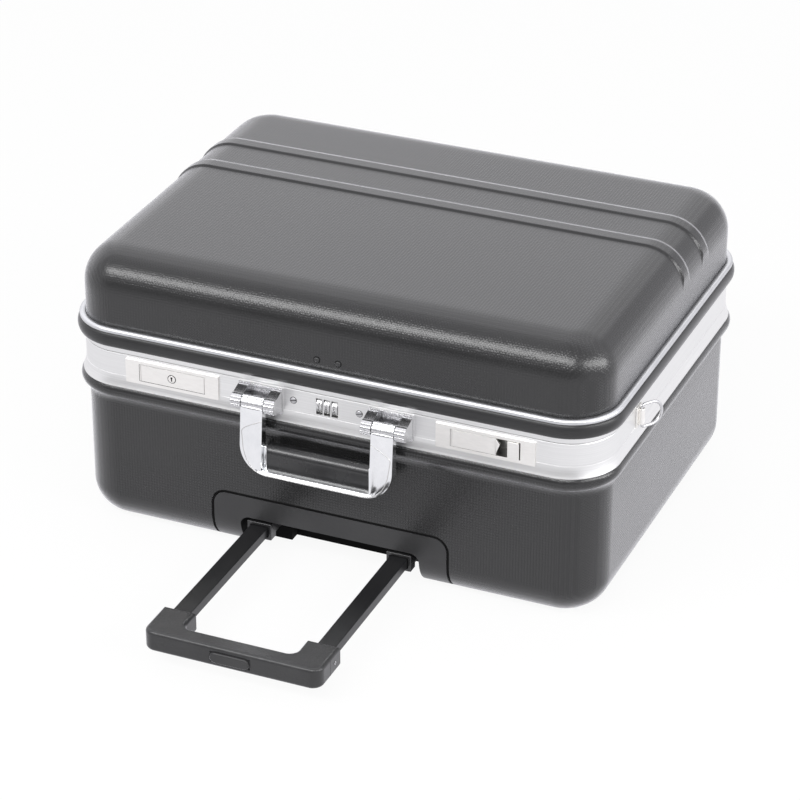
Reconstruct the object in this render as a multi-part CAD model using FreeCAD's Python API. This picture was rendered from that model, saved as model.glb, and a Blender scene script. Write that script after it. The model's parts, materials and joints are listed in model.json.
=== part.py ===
import FreeCAD, Part
import math
import os
from FreeCAD import Vector

# Wheeled tool case lying flat: X along the front, front at -Y, Z up, origin under its middle.

# Clearances
fit = 0.3
pin_fit = 0.15
parting_gap = 0.3
overrun = 5.0

# Shells
body_width = 479.5
body_depth = 358.4
corner_radius = 40.0
base_edge_radius = 32.0
shell_wall = 3.0
parting_height = 171.5
case_height = 257.5
lid_edge_radius = 35.0
lid_outset = 0.7
bulge_outset = 7.0
bulge_height = 20.0
bulge_shares = ((0.12, 0.22), (0.48, 0.42), (1.0, 0.72))

# Stepped ribs across the lid
rib_insets = (157.2, 106.2)
rib_width = 23.5
rib_height = 2.2
rib_front = 2.2
rib_root = 1.5

# Aluminium frame
band_outset = 2.0
band_height = 31.3
lip_outset = 5.0
lip_height = 5.8
lip_edge = 2.0
flange_reach = 6.0
flange_height = 2.5
tongue_inset = 4.0
tongue_thick = 1.6
tongue_height = 5.0
strip_thick = 1.8
strip_height = 7.0
web_height = 2.0
inner_lip_inset = 8.5
inner_lip_thick = 1.5
bumper_height = 12.4
bumper_outset = 8.2
bumper_foot = 6.6
bumper_crown_share = 0.4
bead_height = 3.5
bead_outset = 6.25
bead_round = 2.1

# Lid hinges at the back
hinge_inset = 88.75
hinge_length = 50.0
hinge_lid_knuckle = 20.0
hinge_standoff = 6.5
knuckle_radius = 4.0
hinge_pin_radius = 1.8
leaf_thick = 1.6
leaf_height = 20.0
leaf_arm = 2.3

# Latches
latch_gap = 19.9
latch_below = 13.8
latch_plate_width = 87.5
latch_plate_height = 22.0
latch_plate_thick = 1.6
latch_body_reach = 14.0
latch_body_wall = 1.4
flap_width = 61.0
short_flap_width = 40.0
flap_height = 15.4
flap_thick = 4.0
flap_pin_radius = 1.0
key_radius = 3.3
key_proud = 0.5
key_seat = 3.0
keyhole_width = 0.9
keyhole_length = 3.6
keyhole_depth = 1.5
slide_button_width = 10.2
slide_button_proud = 1.0
slide_button_inset = 0.6
hook_width = 14.0
hook_thick = 2.0
hook_drop = 6.0
hook_rise = 8.5
hook_nose_reach = 0.4
hook_nose_height = 4.0
hook_rail = 2.0
strike_thick = 1.2
strike_width = 18.0

# Dial lock
dial_radius = 7.2
dial_width = 5.2
dial_pitch = 7.0
dial_proud = 2.0
dial_x = 0.7
dial_below = 11.5
dial_axle_radius = 1.4
dial_chamfer = 0.5
lock_wall = 1.4
lock_screw_x = 30.0
lock_screw_lift = 1.0
lock_screw_head = 2.9
lock_screw_head_height = 0.7
lock_screw_radius = 1.5
lock_screw_tail = 2.0
lock_flange_margin = 7.0
slot_width = 0.8
slot_depth = 0.4

# Carry handle
bracket_x = 59.25
bracket_width = 39.5
bracket_margin = 1.1
bracket_plate = 3.0
ear_width = 9.3
ear_radius = 7.0
handle_reach = 14.0
handle_below = 12.5
handle_pin_radius = 2.5
barrel_radius = 6.4
arm_width = 20.0
arm_thick = 6.0
handle_drop = 62.5
rim_height = 4.5
handle_corner = 26.0
grip_height = 21.6
grip_depth = 16.0
grip_round = 7.0
grip_foot_round = 1.5
bracket_screw_spread = 10.0
bracket_screw_radius = 2.0
bracket_screw_head = 3.5
bracket_screw_head_height = 1.5
bracket_screw_bite = 1.8

# Strap rings on both sides
ring_setback = 90.2
ring_below = 12.2
ring_swing = 35.0
ring_wire = 1.3
ring_half_height = 10.5
ring_leg = 10.0
ring_bend = 3.0
ring_barrel_wall = 1.2
ring_barrel_height = 14.6
ring_standoff = 3.0
ring_plate_thick = 1.2
ring_plate_width = 12.0
ring_plate_height = 19.0

# Pull handle: two sliding stages in fixed tubes
tube_x = 65.0
tube_z = 25.5
tube_width = 16.0
tube_height = 9.0
tube_wall = 1.2
tube_clear = 0.4
tube_end_inset = 45.2
middle_tube_length = 250.0
inner_tube_length = 255.0
collar_margin = 1.6
collar_depth = 10.0
collar_lip = 2.0
collar_proud = 0.8
pull_reach = 152.0
pull_grip_half = 79.0
pull_grip_depth = 41.0
pull_bar_depth = 17.0
pull_leg_inner = 50.0
pull_grip_height = 19.0
pull_grip_corner = 10.0
pull_grip_inner_corner = 8.0
pull_grip_edge = 3.5
pull_socket = 16.0
push_width = 35.0
push_height = 9.4
push_proud = 2.0
push_body = 7.5
push_slot = 10.5

# Pull-handle housing in the base's front
bezel_half = 107.9
bezel_top = 55.5
bezel_corner = 12.0
bezel_gap = 2.5
bezel_flange = 8.0
bezel_flange_thick = 2.5
pocket_half = 83.0
pocket_top = 35.6
pocket_depth = 44.5
pocket_wall = 3.0
pocket_corner = 8.0
collar_seat = 9.5
collar_seat_wall = 2.0
boss_place = 62.0
boss_width = 26.0
boss_low = 2.0
boss_high = 14.0
boss_reach = 13.0
cover_half = 90.0
cover_wall = 2.0

# Wheels and feet at the back
wheel_inset = 58.75
wheel_setback = 9.2
wheel_lift = 0.5
wheel_radius = 26.0
wheel_width = 24.0
hub_radius = 17.0
tyre_round = 4.0
wheel_axle_radius = 3.0
wheel_room = 3.0
well_half = 15.5
well_wall = 2.5
foot_gap = 4.2
foot_radius = 11.0
foot_chamfer = 2.0

# Knee stays inside the lid
stay_base_forward = 90.0
stay_lid_forward = 200.0
stay_height = 14.0
stay_inset = 14.75
stay_thick = 2.0
stay_half = 5.0
stay_pin = 2.5
stay_block = 8.0
stay_knuckle_clear = 0.6

# Plugs on the lid's front
plug_places = (-8.6, 10.6)
plug_rise = 31.5
plug_radius = 2.5
plug_proud = 0.5

# Levels and faces worked out from the sizes above
half_width = body_width / 2
half_depth = body_depth / 2
front_wall = -half_depth
front_inside = front_wall + shell_wall
band_front = front_wall - band_outset
band_back = half_depth + band_outset
band_side = half_width + band_outset
band_low = parting_height - band_height
frame_seat = parting_height - flange_height
strip_low = parting_height + parting_gap
strip_high = parting_height + strip_height
lid_low = strip_high + web_height
bead_low = strip_high + bumper_height
bead_high = bead_low + bead_height
plug_z = parting_height + plug_rise
lid_round = min(lid_edge_radius, case_height - plug_z - plug_radius - fit)
hinge_y = band_back + hinge_standoff
hinge_z = parting_height + parting_gap / 2
hinge_places = (hinge_inset - half_width, 0, half_width - hinge_inset)
rib_feet = [half_depth - inset for inset in rib_insets]
latch_x = bracket_x + bracket_width / 2 + latch_gap + latch_plate_width / 2
latch_z = parting_height - latch_below
latch_front = band_front - latch_plate_thick
latch_back = band_front + latch_body_reach
flap_pivot_y = latch_front + flap_thick / 2
dial_y = band_front - dial_proud + dial_radius
dial_z = parting_height - dial_below
bracket_high = parting_height - bracket_margin
bracket_low = band_low + lip_height + pin_fit
handle_y = band_front - handle_reach
handle_z = parting_height - handle_below
ring_x = band_side + ring_standoff
ring_y = front_wall + ring_setback
ring_z = parting_height - ring_below
collar_front = front_wall - collar_proud
grip_back = collar_front - pull_reach
outer_tube_end = half_depth - tube_end_inset
pocket_back = front_wall + pocket_depth
housing_back = pocket_back + pocket_wall
seat_back = pocket_back + collar_seat
tube_start = seat_back + pocket_wall
cover_top = pocket_top + pocket_wall
wheel_x = half_width - wheel_inset
wheel_y = half_depth - wheel_setback
wheel_z = wheel_radius + wheel_lift
foot_y = wheel_y + wheel_radius
foot_z = band_low - bulge_height - foot_gap - foot_radius
stay_x = half_width - stay_inset


def block(x0, x1, y0, y1, z0, z1):
    return Part.makeBox(x1 - x0, y1 - y0, z1 - z0, Vector(x0, y0, z0))


def rod(radius, start, end):
    return Part.makeCylinder(radius, (end - start).Length, start, end - start)


def mirrored(shape):
    return shape.mirror(Vector(0, 0, 0), Vector(1, 0, 0))


def both(shape):
    return Part.makeCompound([shape, mirrored(shape)])


def traced(corners):
    # A closed wire of lines; a pair of points in the list is an arc through the first to the second.
    edges = []
    here = corners[0]
    for step in list(corners[1:]) + [corners[0]]:
        if isinstance(step, tuple):
            edges.append(Part.Arc(here, step[0], step[1]).toShape())
            here = step[1]
        elif not here.isEqual(step, pin_fit):
            edges.append(Part.LineSegment(here, step).toShape())
            here = step
    return Part.Wire(edges)


def solid_between(wire, along):
    return Part.Face(wire).extrude(along)


def outline(width, depth, radius, height):
    # Rounded rectangle that starts at the middle of its front side.
    x = width / 2
    y = depth / 2
    bow = radius * (1 - math.sqrt(0.5))
    corners = [Vector(0, -y, height), Vector(x - radius, -y, height)]
    corners.append((Vector(x - bow, bow - y, height), Vector(x, radius - y, height)))
    corners.append(Vector(x, y - radius, height))
    corners.append((Vector(x - bow, y - bow, height), Vector(x - radius, y, height)))
    corners.append(Vector(radius - x, y, height))
    corners.append((Vector(bow - x, y - bow, height), Vector(-x, y - radius, height)))
    corners.append(Vector(-x, radius - y, height))
    corners.append((Vector(bow - x, bow - y, height), Vector(radius - x, -y, height)))
    return traced(corners)


def ring(corners):
    # A section of (outset, height) points carried round the case outline.
    def place(point):
        return Vector(0, front_wall - point[0], point[1])

    steps = []
    for corner in corners:
        if isinstance(corner[0], tuple):
            steps.append((place(corner[0]), place(corner[1])))
        else:
            steps.append(place(corner))
    spine = outline(body_width, body_depth, corner_radius, 0)
    return spine.makePipeShell([traced(steps)], True, False)


def rounded_tub(outset, low, high, edge_radius, edge_level):
    wire = outline(body_width + 2 * outset, body_depth + 2 * outset, corner_radius + outset, low)
    tub = solid_between(wire, Vector(0, 0, high - low))
    edges = [edge for edge in tub.Edges if abs(edge.CenterOfMass.z - edge_level) < fit]
    return tub.makeFillet(edge_radius, edges)


def base_form(inset, high):
    return rounded_tub(-inset, inset, high, base_edge_radius - inset, inset)


def lid_form(inset, low):
    high = case_height - inset
    return rounded_tub(lid_outset - inset, low, high, lid_round - inset, high)


# Openings that several pieces share

def arch(grow, y0, y1):
    # Door shape round the bezel, open to below, grown all round.
    half = bezel_half + grow
    top = bezel_top + grow
    radius = bezel_corner + grow
    bow = radius * (1 - math.sqrt(0.5))
    corners = [Vector(-half, y0, -overrun), Vector(half, y0, -overrun), Vector(half, y0, top - radius)]
    corners.append((Vector(half - bow, y0, top - bow), Vector(half - radius, y0, top)))
    corners.append(Vector(radius - half, y0, top))
    corners.append((Vector(bow - half, y0, top - bow), Vector(-half, y0, top - radius)))
    return solid_between(traced(corners), Vector(0, y1 - y0, 0))


def latch_body_block(x):
    half = flap_width / 2 + fit + latch_body_wall
    tall = flap_height / 2 + fit + latch_body_wall
    return block(x - half, x + half, band_front, latch_back, latch_z - tall, latch_z + tall)


def dial_windows():
    half = dial_width / 2 + fit
    tall = dial_radius + fit
    windows = []
    for x in dial_centres():
        windows.append(block(x - half, x + half, band_front, front_wall, dial_z - tall, dial_z + tall))
    return windows


def dial_centres():
    return [dial_x + step * dial_pitch for step in (-1, 0, 1)]


def lock_screw_shanks():
    z = dial_z + lock_screw_lift
    tail = front_inside + lock_wall + lock_screw_tail
    shanks = []
    for x in (-lock_screw_x, lock_screw_x):
        shanks.append(rod(lock_screw_radius, Vector(x, band_front, z), Vector(x, tail, z)))
    return shanks


def bracket_screw_shanks():
    tip = band_front - bracket_screw_bite
    shanks = []
    for x in bracket_screw_places():
        shanks.append(rod(bracket_screw_radius, Vector(x, front_inside, handle_z), Vector(x, tip, handle_z)))
    return shanks


def bracket_screw_places():
    places = []
    for side in (-1, 1):
        for step in (-1, 1):
            places.append(side * bracket_x + step * bracket_screw_spread)
    return places


def front_openings():
    latches = [latch_body_block(-latch_x), latch_body_block(latch_x)]
    return latches + lock_screw_shanks() + bracket_screw_shanks()


def lock_box():
    wide = dial_pitch + dial_width / 2 + fit + lock_wall
    tall = dial_radius + fit + lock_wall
    back = dial_y + dial_radius + fit + lock_wall
    return block(dial_x - wide, dial_x + wide, front_wall, back, dial_z - tall, dial_z + tall)


def well_block(grow, back):
    half = well_half + grow
    front = wheel_y - wheel_radius - wheel_room - grow
    top = wheel_z + wheel_radius + wheel_room + grow
    return block(wheel_x - half, wheel_x + half, front, back, -overrun, top)


# Base

def base_shell():
    shell = base_form(0, frame_seat).cut(base_form(shell_wall, frame_seat + overrun))
    low = band_low - bulge_height
    steps = [(bulge_outset * out, low + bulge_height * up) for out, up in bulge_shares]
    root = -shell_wall / 2
    lip = (lip_outset, band_low)
    bulge = ring([(root, low), (0, low), (steps[0], steps[1]), (steps[2], lip), (root, band_low)])
    shell = shell.fuse(bulge)
    well = well_block(well_wall, foot_y)
    pocket = pocket_half + pocket_wall
    cuts = [arch(bezel_gap, front_wall - overrun, front_wall + base_edge_radius), well, mirrored(well)]
    pocket_roof = pocket_top + pocket_wall
    cuts.append(block(-pocket, pocket, front_wall - overrun, housing_back, -overrun, pocket_roof))
    return shell.cut(cuts + [lock_box()] + front_openings()).removeSplitter()


def base_frame():
    tongue_low = -tongue_inset - tongue_thick
    corners = [(0, band_low), (lip_outset, band_low), (lip_outset, band_low + lip_edge)]
    corners += [(band_outset, band_low + lip_height), (band_outset, parting_height)]
    corners += [(-tongue_inset, parting_height), (-tongue_inset, parting_height + tongue_height)]
    corners += [(tongue_low, parting_height + tongue_height), (tongue_low, parting_height)]
    corners += [(-flange_reach, parting_height), (-flange_reach, frame_seat), (0, frame_seat)]
    return ring(corners).cut(front_openings() + dial_windows())


def trolley_housing():
    form = base_form(0, frame_seat)
    inside = base_form(shell_wall, frame_seat + overrun)
    deeper = base_form(shell_wall + bezel_flange_thick, frame_seat + overrun)
    edge = front_wall + base_edge_radius
    bezel = form.cut(inside).common(arch(0, front_wall - overrun, edge))
    flange = inside.cut(deeper).common(arch(bezel_flange, front_wall, edge))
    half = pocket_half + pocket_wall
    liner = form.common(block(-half, half, front_wall, housing_back, -overrun, pocket_top + pocket_wall))
    room = block(-pocket_half, pocket_half, front_wall - overrun, pocket_back, -overrun, pocket_top)
    upper = [edge for edge in room.Edges if edge.CenterOfMass.z > pocket_top - fit]
    corners = [edge for edge in upper if abs(edge.CenterOfMass.x) > fit]
    room = room.makeFillet(pocket_corner, corners)
    boss_left = -boss_place - boss_width / 2
    boss_front = pocket_back - boss_reach
    boss = block(boss_left, boss_left + boss_width, boss_front, pocket_back, boss_low, boss_high)
    # The collars sink into two seats in the pocket's back when the handle is pushed in
    seats = []
    holes = []
    seat_room = collar_margin + tube_clear
    for x in (-tube_x, tube_x):
        seats.append(bar(x, 2, pocket_back, tube_start, seat_room + collar_seat_wall))
        holes.append(bar(x, 2, pocket_back - overrun, seat_back, seat_room))
        holes.append(bar(x, 2, pocket_back - overrun, tube_start + overrun, tube_clear))
    housing = bezel.fuse([flange, liner]).cut(room).fuse([boss] + seats)
    return housing.cut(holes).removeSplitter()


def tube_cover():
    low = shell_wall
    outside = block(-cover_half, cover_half, housing_back, outer_tube_end + cover_wall, low, cover_top)
    inner = cover_half - cover_wall
    return outside.cut(block(-inner, inner, housing_back, outer_tube_end, low, cover_top - cover_wall))


def wheel_housing():
    form = base_form(0, frame_seat)
    housing = form.common(well_block(well_wall, foot_y)).cut(well_block(0, foot_y + overrun))
    return housing.cut(wheel_axle())


def wheel_axle():
    half = well_half + well_wall
    inner = Vector(wheel_x - half, wheel_y, wheel_z)
    outer = Vector(wheel_x + half, wheel_y, wheel_z)
    return rod(wheel_axle_radius, inner, outer)


def wheel_hub():
    half = well_half - fit
    tread = wheel_width / 2
    start = Vector(wheel_x - half, wheel_y, wheel_z)
    end = Vector(wheel_x + half, wheel_y, wheel_z)
    boss = rod(2 * wheel_axle_radius, start, end)
    inner = Vector(wheel_x - tread, wheel_y, wheel_z)
    outer = Vector(wheel_x + tread, wheel_y, wheel_z)
    disc = rod(hub_radius, inner, outer)
    return boss.fuse(disc).cut(rod(wheel_axle_radius + pin_fit, start, end)).removeSplitter()


def wheel_tyre():
    tread = wheel_width / 2
    start = Vector(wheel_x - tread, wheel_y, wheel_z)
    end = Vector(wheel_x + tread, wheel_y, wheel_z)
    tyre = rod(wheel_radius, start, end)
    rims = [edge for edge in tyre.Edges if len(edge.Vertexes) == 1]
    return tyre.makeFillet(tyre_round, rims).cut(rod(hub_radius, start, end))


def rear_foot():
    foot = rod(foot_radius, Vector(wheel_x, half_depth, foot_z), Vector(wheel_x, foot_y, foot_z))
    rims = [edge for edge in foot.Edges if edge.CenterOfMass.y > foot_y - fit]
    return foot.makeChamfer(foot_chamfer, rims)


# Hinges

def hinge_bore():
    left = Vector(-half_width, hinge_y, hinge_z)
    right = Vector(half_width, hinge_y, hinge_z)
    return rod(hinge_pin_radius + pin_fit, left, right)


def knuckle(x0, x1):
    return rod(knuckle_radius, Vector(x0, hinge_y, hinge_z), Vector(x1, hinge_y, hinge_z))


def hinge_base_leaves():
    low = parting_height - leaf_height
    high = parting_height - leaf_thick
    arm_low = hinge_z - knuckle_radius
    leaves = []
    for x in hinge_places:
        half = hinge_length / 2
        gap = hinge_lid_knuckle / 2 + fit
        leaf = block(x - half, x + half, band_back, band_back + leaf_thick, low, high)
        for x0, x1 in ((x - half, x - gap), (x + gap, x + half)):
            arm = block(x0, x1, band_back, hinge_y, arm_low, arm_low + leaf_arm)
            leaf = leaf.fuse([knuckle(x0, x1), arm])
        leaves.append(leaf.cut(hinge_pin(x)).removeSplitter())
    return Part.makeCompound(leaves)


def hinge_lid_leaves():
    low = strip_low + leaf_thick / 2
    high = strip_high - fit
    arm_high = hinge_z + knuckle_radius
    leaves = []
    for x in hinge_places:
        half = hinge_length / 2
        reach = hinge_lid_knuckle / 2
        leaf = block(x - half, x + half, band_back, band_back + leaf_thick, low, high)
        arm = block(x - reach, x + reach, band_back, hinge_y, arm_high - leaf_arm, arm_high)
        leaf = leaf.fuse([knuckle(x - reach, x + reach), arm])
        leaves.append(leaf.cut(hinge_bore()).removeSplitter())
    return Part.makeCompound(leaves)


def hinge_pin(x):
    half = hinge_length / 2
    return rod(hinge_pin_radius, Vector(x - half, hinge_y, hinge_z), Vector(x + half, hinge_y, hinge_z))


# Latches

def flap_pin(x):
    tall = flap_height / 2 + fit + latch_body_wall
    pivot = flap_pivot_x(x)
    return rod(flap_pin_radius, Vector(pivot, flap_pivot_y, latch_z - tall),
               Vector(pivot, flap_pivot_y, latch_z + tall))


def flap_pivot_x(x):
    return x - flap_width / 2 + flap_thick / 2


def latch_plate(x):
    half = latch_plate_width / 2
    tall = latch_plate_height / 2
    room = flap_width / 2 + fit
    room_tall = flap_height / 2 + fit
    plate = block(x - half, x + half, latch_front, band_front, latch_z - tall, latch_z + tall)
    cavity = block(x - room, x + room, latch_front - overrun, latch_back - latch_body_wall,
                   latch_z - room_tall, latch_z + room_tall)
    rail = hook_width / 2 + fit
    rail_back = latch_back + fit + hook_thick
    rails = []
    for x0, x1 in ((x - rail - hook_rail, x - rail), (x + rail, x + rail + hook_rail)):
        rails.append(block(x0, x1, latch_back, rail_back, latch_z - hook_drop, latch_z + hook_drop))
    return plate.fuse([latch_body_block(x)] + rails).cut([cavity, flap_pin(x)]).removeSplitter()


def latch_flap(x, width):
    pivot = flap_pivot_x(x)
    tall = flap_height / 2
    end = x - flap_width / 2 + width
    low = Vector(pivot, flap_pivot_y, latch_z - tall)
    high = Vector(pivot, flap_pivot_y, latch_z + tall)
    plate = block(pivot, end, latch_front, latch_front + flap_thick, latch_z - tall, latch_z + tall)
    flap = plate.fuse(rod(flap_thick / 2, low, high))
    return flap.cut(rod(flap_pin_radius + pin_fit, low, high)).removeSplitter()


def key_seat_rod(radius, proud):
    start = Vector(-latch_x, latch_front - proud, latch_z)
    return rod(radius, start, Vector(-latch_x, latch_front + key_seat, latch_z))


def latch_flap_left():
    return latch_flap(-latch_x, flap_width).cut(key_seat_rod(key_radius + pin_fit, overrun))


def key_cylinder():
    hole = block(-latch_x - keyhole_width / 2, -latch_x + keyhole_width / 2, latch_front - overrun,
                 latch_front + keyhole_depth, latch_z - keyhole_length / 2, latch_z + keyhole_length / 2)
    return key_seat_rod(key_radius, key_proud).cut(hole)


def slide_button():
    end = latch_x + flap_width / 2 - slide_button_inset
    tall = flap_height / 2
    return block(end - slide_button_width, end, latch_front - slide_button_proud,
                 latch_back - latch_body_wall - fit, latch_z - tall, latch_z + tall)


def latch_hook(x):
    half = hook_width / 2
    front = latch_back + fit
    top = parting_height + hook_rise
    plate = block(x - half, x + half, front, front + hook_thick, latch_z - hook_drop, top)
    nose = block(x - half, x + half, front - hook_nose_reach, front, top - hook_nose_height, top)
    return plate.fuse(nose).removeSplitter()


def latch_strike(x):
    half = strike_width / 2
    face = front_wall + inner_lip_inset + inner_lip_thick
    return block(x - half, x + half, face, face + strike_thick, strip_low, strip_high)


# Dial lock

def lock_case():
    half = dial_pitch + dial_width / 2 + fit
    tall = dial_radius + fit
    back = dial_y + dial_radius + fit
    flange = lock_screw_x + lock_flange_margin
    plate = block(-flange, flange, front_inside, front_inside + lock_wall,
                  dial_z - tall - lock_wall, dial_z + tall + lock_wall)
    room = block(dial_x - half, dial_x + half, front_wall, back, dial_z - tall, dial_z + tall)
    return lock_box().fuse(plate).cut([room, dial_axle()] + lock_screw_shanks()).removeSplitter()


def dial_axle():
    half = dial_pitch + dial_width / 2 + fit + lock_wall
    return rod(dial_axle_radius, Vector(dial_x - half, dial_y, dial_z), Vector(dial_x + half, dial_y, dial_z))


def dial_wheel(x):
    start = Vector(x - dial_width / 2, dial_y, dial_z)
    end = Vector(x + dial_width / 2, dial_y, dial_z)
    wheel = rod(dial_radius, start, end)
    rims = [edge for edge in wheel.Edges if len(edge.Vertexes) == 1]
    return wheel.makeChamfer(dial_chamfer, rims).cut(rod(dial_axle_radius + pin_fit, start, end))


def lock_screws():
    z = dial_z + lock_screw_lift
    screws = []
    for x, shank in zip((-lock_screw_x, lock_screw_x), lock_screw_shanks()):
        top = band_front - lock_screw_head_height
        head = rod(lock_screw_head, Vector(x, band_front, z), Vector(x, top, z))
        slot = block(x - lock_screw_head, x + lock_screw_head, top, top + slot_depth,
                     z - slot_width / 2, z + slot_width / 2)
        screws.append(head.fuse(shank).cut(slot))
    return Part.makeCompound(screws)


# Carry handle

def handle_bracket(x):
    half = bracket_width / 2
    plate_front = band_front - bracket_plate
    plate = block(x - half, x + half, plate_front, band_front, bracket_low, bracket_high)
    bracket = plate
    for x0 in (x - half, x + half - ear_width):
        corners = [Vector(x0, band_front, bracket_low), Vector(x0, band_front, bracket_high)]
        corners.append(Vector(x0, handle_y, handle_z + ear_radius))
        nose = Vector(x0, handle_y - ear_radius, handle_z)
        corners.append((nose, Vector(x0, handle_y, handle_z - ear_radius)))
        bracket = bracket.fuse(solid_between(traced(corners), Vector(ear_width, 0, 0)))
    return bracket.cut([handle_pin(x)] + bracket_screw_shanks()).removeSplitter()


def handle_pin(x):
    half = bracket_width / 2
    return rod(handle_pin_radius, Vector(x - half, handle_y, handle_z), Vector(x + half, handle_y, handle_z))


def handle_bail():
    outer = bracket_x + arm_width / 2
    inner = bracket_x - arm_width / 2
    front = handle_y - barrel_radius
    low = handle_z - handle_drop
    bow = handle_corner * (1 - math.sqrt(0.5))
    rim = low + rim_height
    corners = [Vector(outer, front, handle_z), Vector(outer, front, low + handle_corner)]
    corners.append((Vector(outer - bow, front, low + bow), Vector(outer - handle_corner, front, low)))
    corners.append(Vector(handle_corner - outer, front, low))
    corners.append((Vector(bow - outer, front, low + bow), Vector(-outer, front, low + handle_corner)))
    corners += [Vector(-outer, front, handle_z), Vector(-inner, front, handle_z)]
    corners += [Vector(-inner, front, rim), Vector(inner, front, rim), Vector(inner, front, handle_z)]
    bail = solid_between(traced(corners), Vector(0, arm_thick, 0))
    bores = []
    for x in (-bracket_x, bracket_x):
        start = Vector(x - arm_width / 2, handle_y, handle_z)
        end = Vector(x + arm_width / 2, handle_y, handle_z)
        bail = bail.fuse(rod(barrel_radius, start, end))
        bores.append(rod(handle_pin_radius + pin_fit, start, end))
    return bail.cut(bores).removeSplitter()


def handle_grip():
    half = bracket_x - arm_width / 2
    front = handle_y - barrel_radius + grip_foot_round / 2
    low = handle_z - handle_drop + rim_height
    grip = block(-half, half, front, front + grip_depth, low, low + grip_height)
    long_edges = [edge for edge in grip.Edges if abs(edge.CenterOfMass.x) < fit]
    middle = low + grip_height / 2
    upper = [edge for edge in long_edges if edge.CenterOfMass.z > middle]
    grip = grip.makeFillet(grip_round, upper)
    low_edges = [edge for edge in grip.Edges if edge.CenterOfMass.z < low + fit]
    lower = [edge for edge in low_edges if abs(edge.CenterOfMass.x) < fit]
    return grip.makeFillet(grip_foot_round, lower)


def bracket_screws():
    head_back = front_inside + bracket_screw_head_height
    screws = []
    for x, shank in zip(bracket_screw_places(), bracket_screw_shanks()):
        head = rod(bracket_screw_head, Vector(x, front_inside, handle_z), Vector(x, head_back, handle_z))
        screws.append(head.fuse(shank))
    return Part.makeCompound(screws)


# Strap rings, right side first

def strap_ring_holder():
    half = ring_plate_width / 2
    tall = ring_plate_height / 2
    plate_side = band_side + ring_plate_thick
    plate = block(band_side, plate_side, ring_y - half, ring_y + half, ring_z - tall, ring_z + tall)
    low = Vector(ring_x, ring_y, ring_z - ring_barrel_height / 2)
    high = Vector(ring_x, ring_y, ring_z + ring_barrel_height / 2)
    barrel = rod(ring_wire + fit + ring_barrel_wall, low, high)
    foot = block(band_side, ring_x, ring_y - ring_wire, ring_y + ring_wire, low.z, high.z)
    bore = rod(ring_wire + fit, low, high)
    return plate.fuse([barrel, foot]).cut(bore).removeSplitter()


def strap_ring():
    low = ring_z - ring_half_height
    high = ring_z + ring_half_height
    bow = ring_bend * (1 - math.sqrt(0.5))
    bend = ring_y + ring_bend
    end = ring_y + ring_leg
    corners = [Vector(ring_x, ring_y, ring_z), Vector(ring_x, ring_y, high - ring_bend)]
    corners.append((Vector(ring_x, ring_y + bow, high - bow), Vector(ring_x, bend, high)))
    corners.append(Vector(ring_x, end, high))
    corners.append((Vector(ring_x, end + ring_half_height, ring_z), Vector(ring_x, end, low)))
    corners.append(Vector(ring_x, bend, low))
    corners.append((Vector(ring_x, ring_y + bow, low + bow), Vector(ring_x, ring_y, low + ring_bend)))
    spine = traced(corners)
    circle = Part.Wire(Part.makeCircle(ring_wire, Vector(ring_x, ring_y, ring_z), Vector(0, 0, 1)))
    loop = spine.makePipeShell([circle], True, False)
    loop.rotate(Vector(ring_x, ring_y, ring_z), Vector(0, 0, 1), -ring_swing)
    return loop


# Pull handle

def bar(x, stage, y0, y1, grow):
    # Outside of the tube at a stage: 0 slides inmost, 1 holds it (bore), 2 in the middle, 3 and 4 outmost.
    steps = stage // 2 * tube_wall + (stage + 1) // 2 * tube_clear
    half = tube_width / 2 + steps + grow
    tall = tube_height / 2 + steps + grow
    return block(x - half, x + half, y0, y1, tube_z - tall, tube_z + tall)


def pipe(x, stage, y0, y1):
    bore = bar(x, stage, y0 - overrun, y1 + overrun, -tube_wall)
    return bar(x, stage, y0, y1, 0).cut(bore)


def trolley_outer_tube():
    return pipe(tube_x, 4, tube_start, outer_tube_end)


def trolley_middle_tube():
    start = collar_front + collar_lip
    return pipe(tube_x, 2, start, collar_front + collar_depth + middle_tube_length)


def trolley_collar():
    end = collar_front + collar_depth
    outside = bar(tube_x, 2, collar_front, end, collar_margin)
    seat = bar(tube_x, 2, collar_front + collar_lip, end + overrun, 0)
    throat = bar(tube_x, 1, collar_front - overrun, end, 0)
    return outside.cut([seat, throat])


def trolley_inner_tube():
    return pipe(tube_x, 0, grip_back - pull_socket, grip_back + inner_tube_length)


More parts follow.
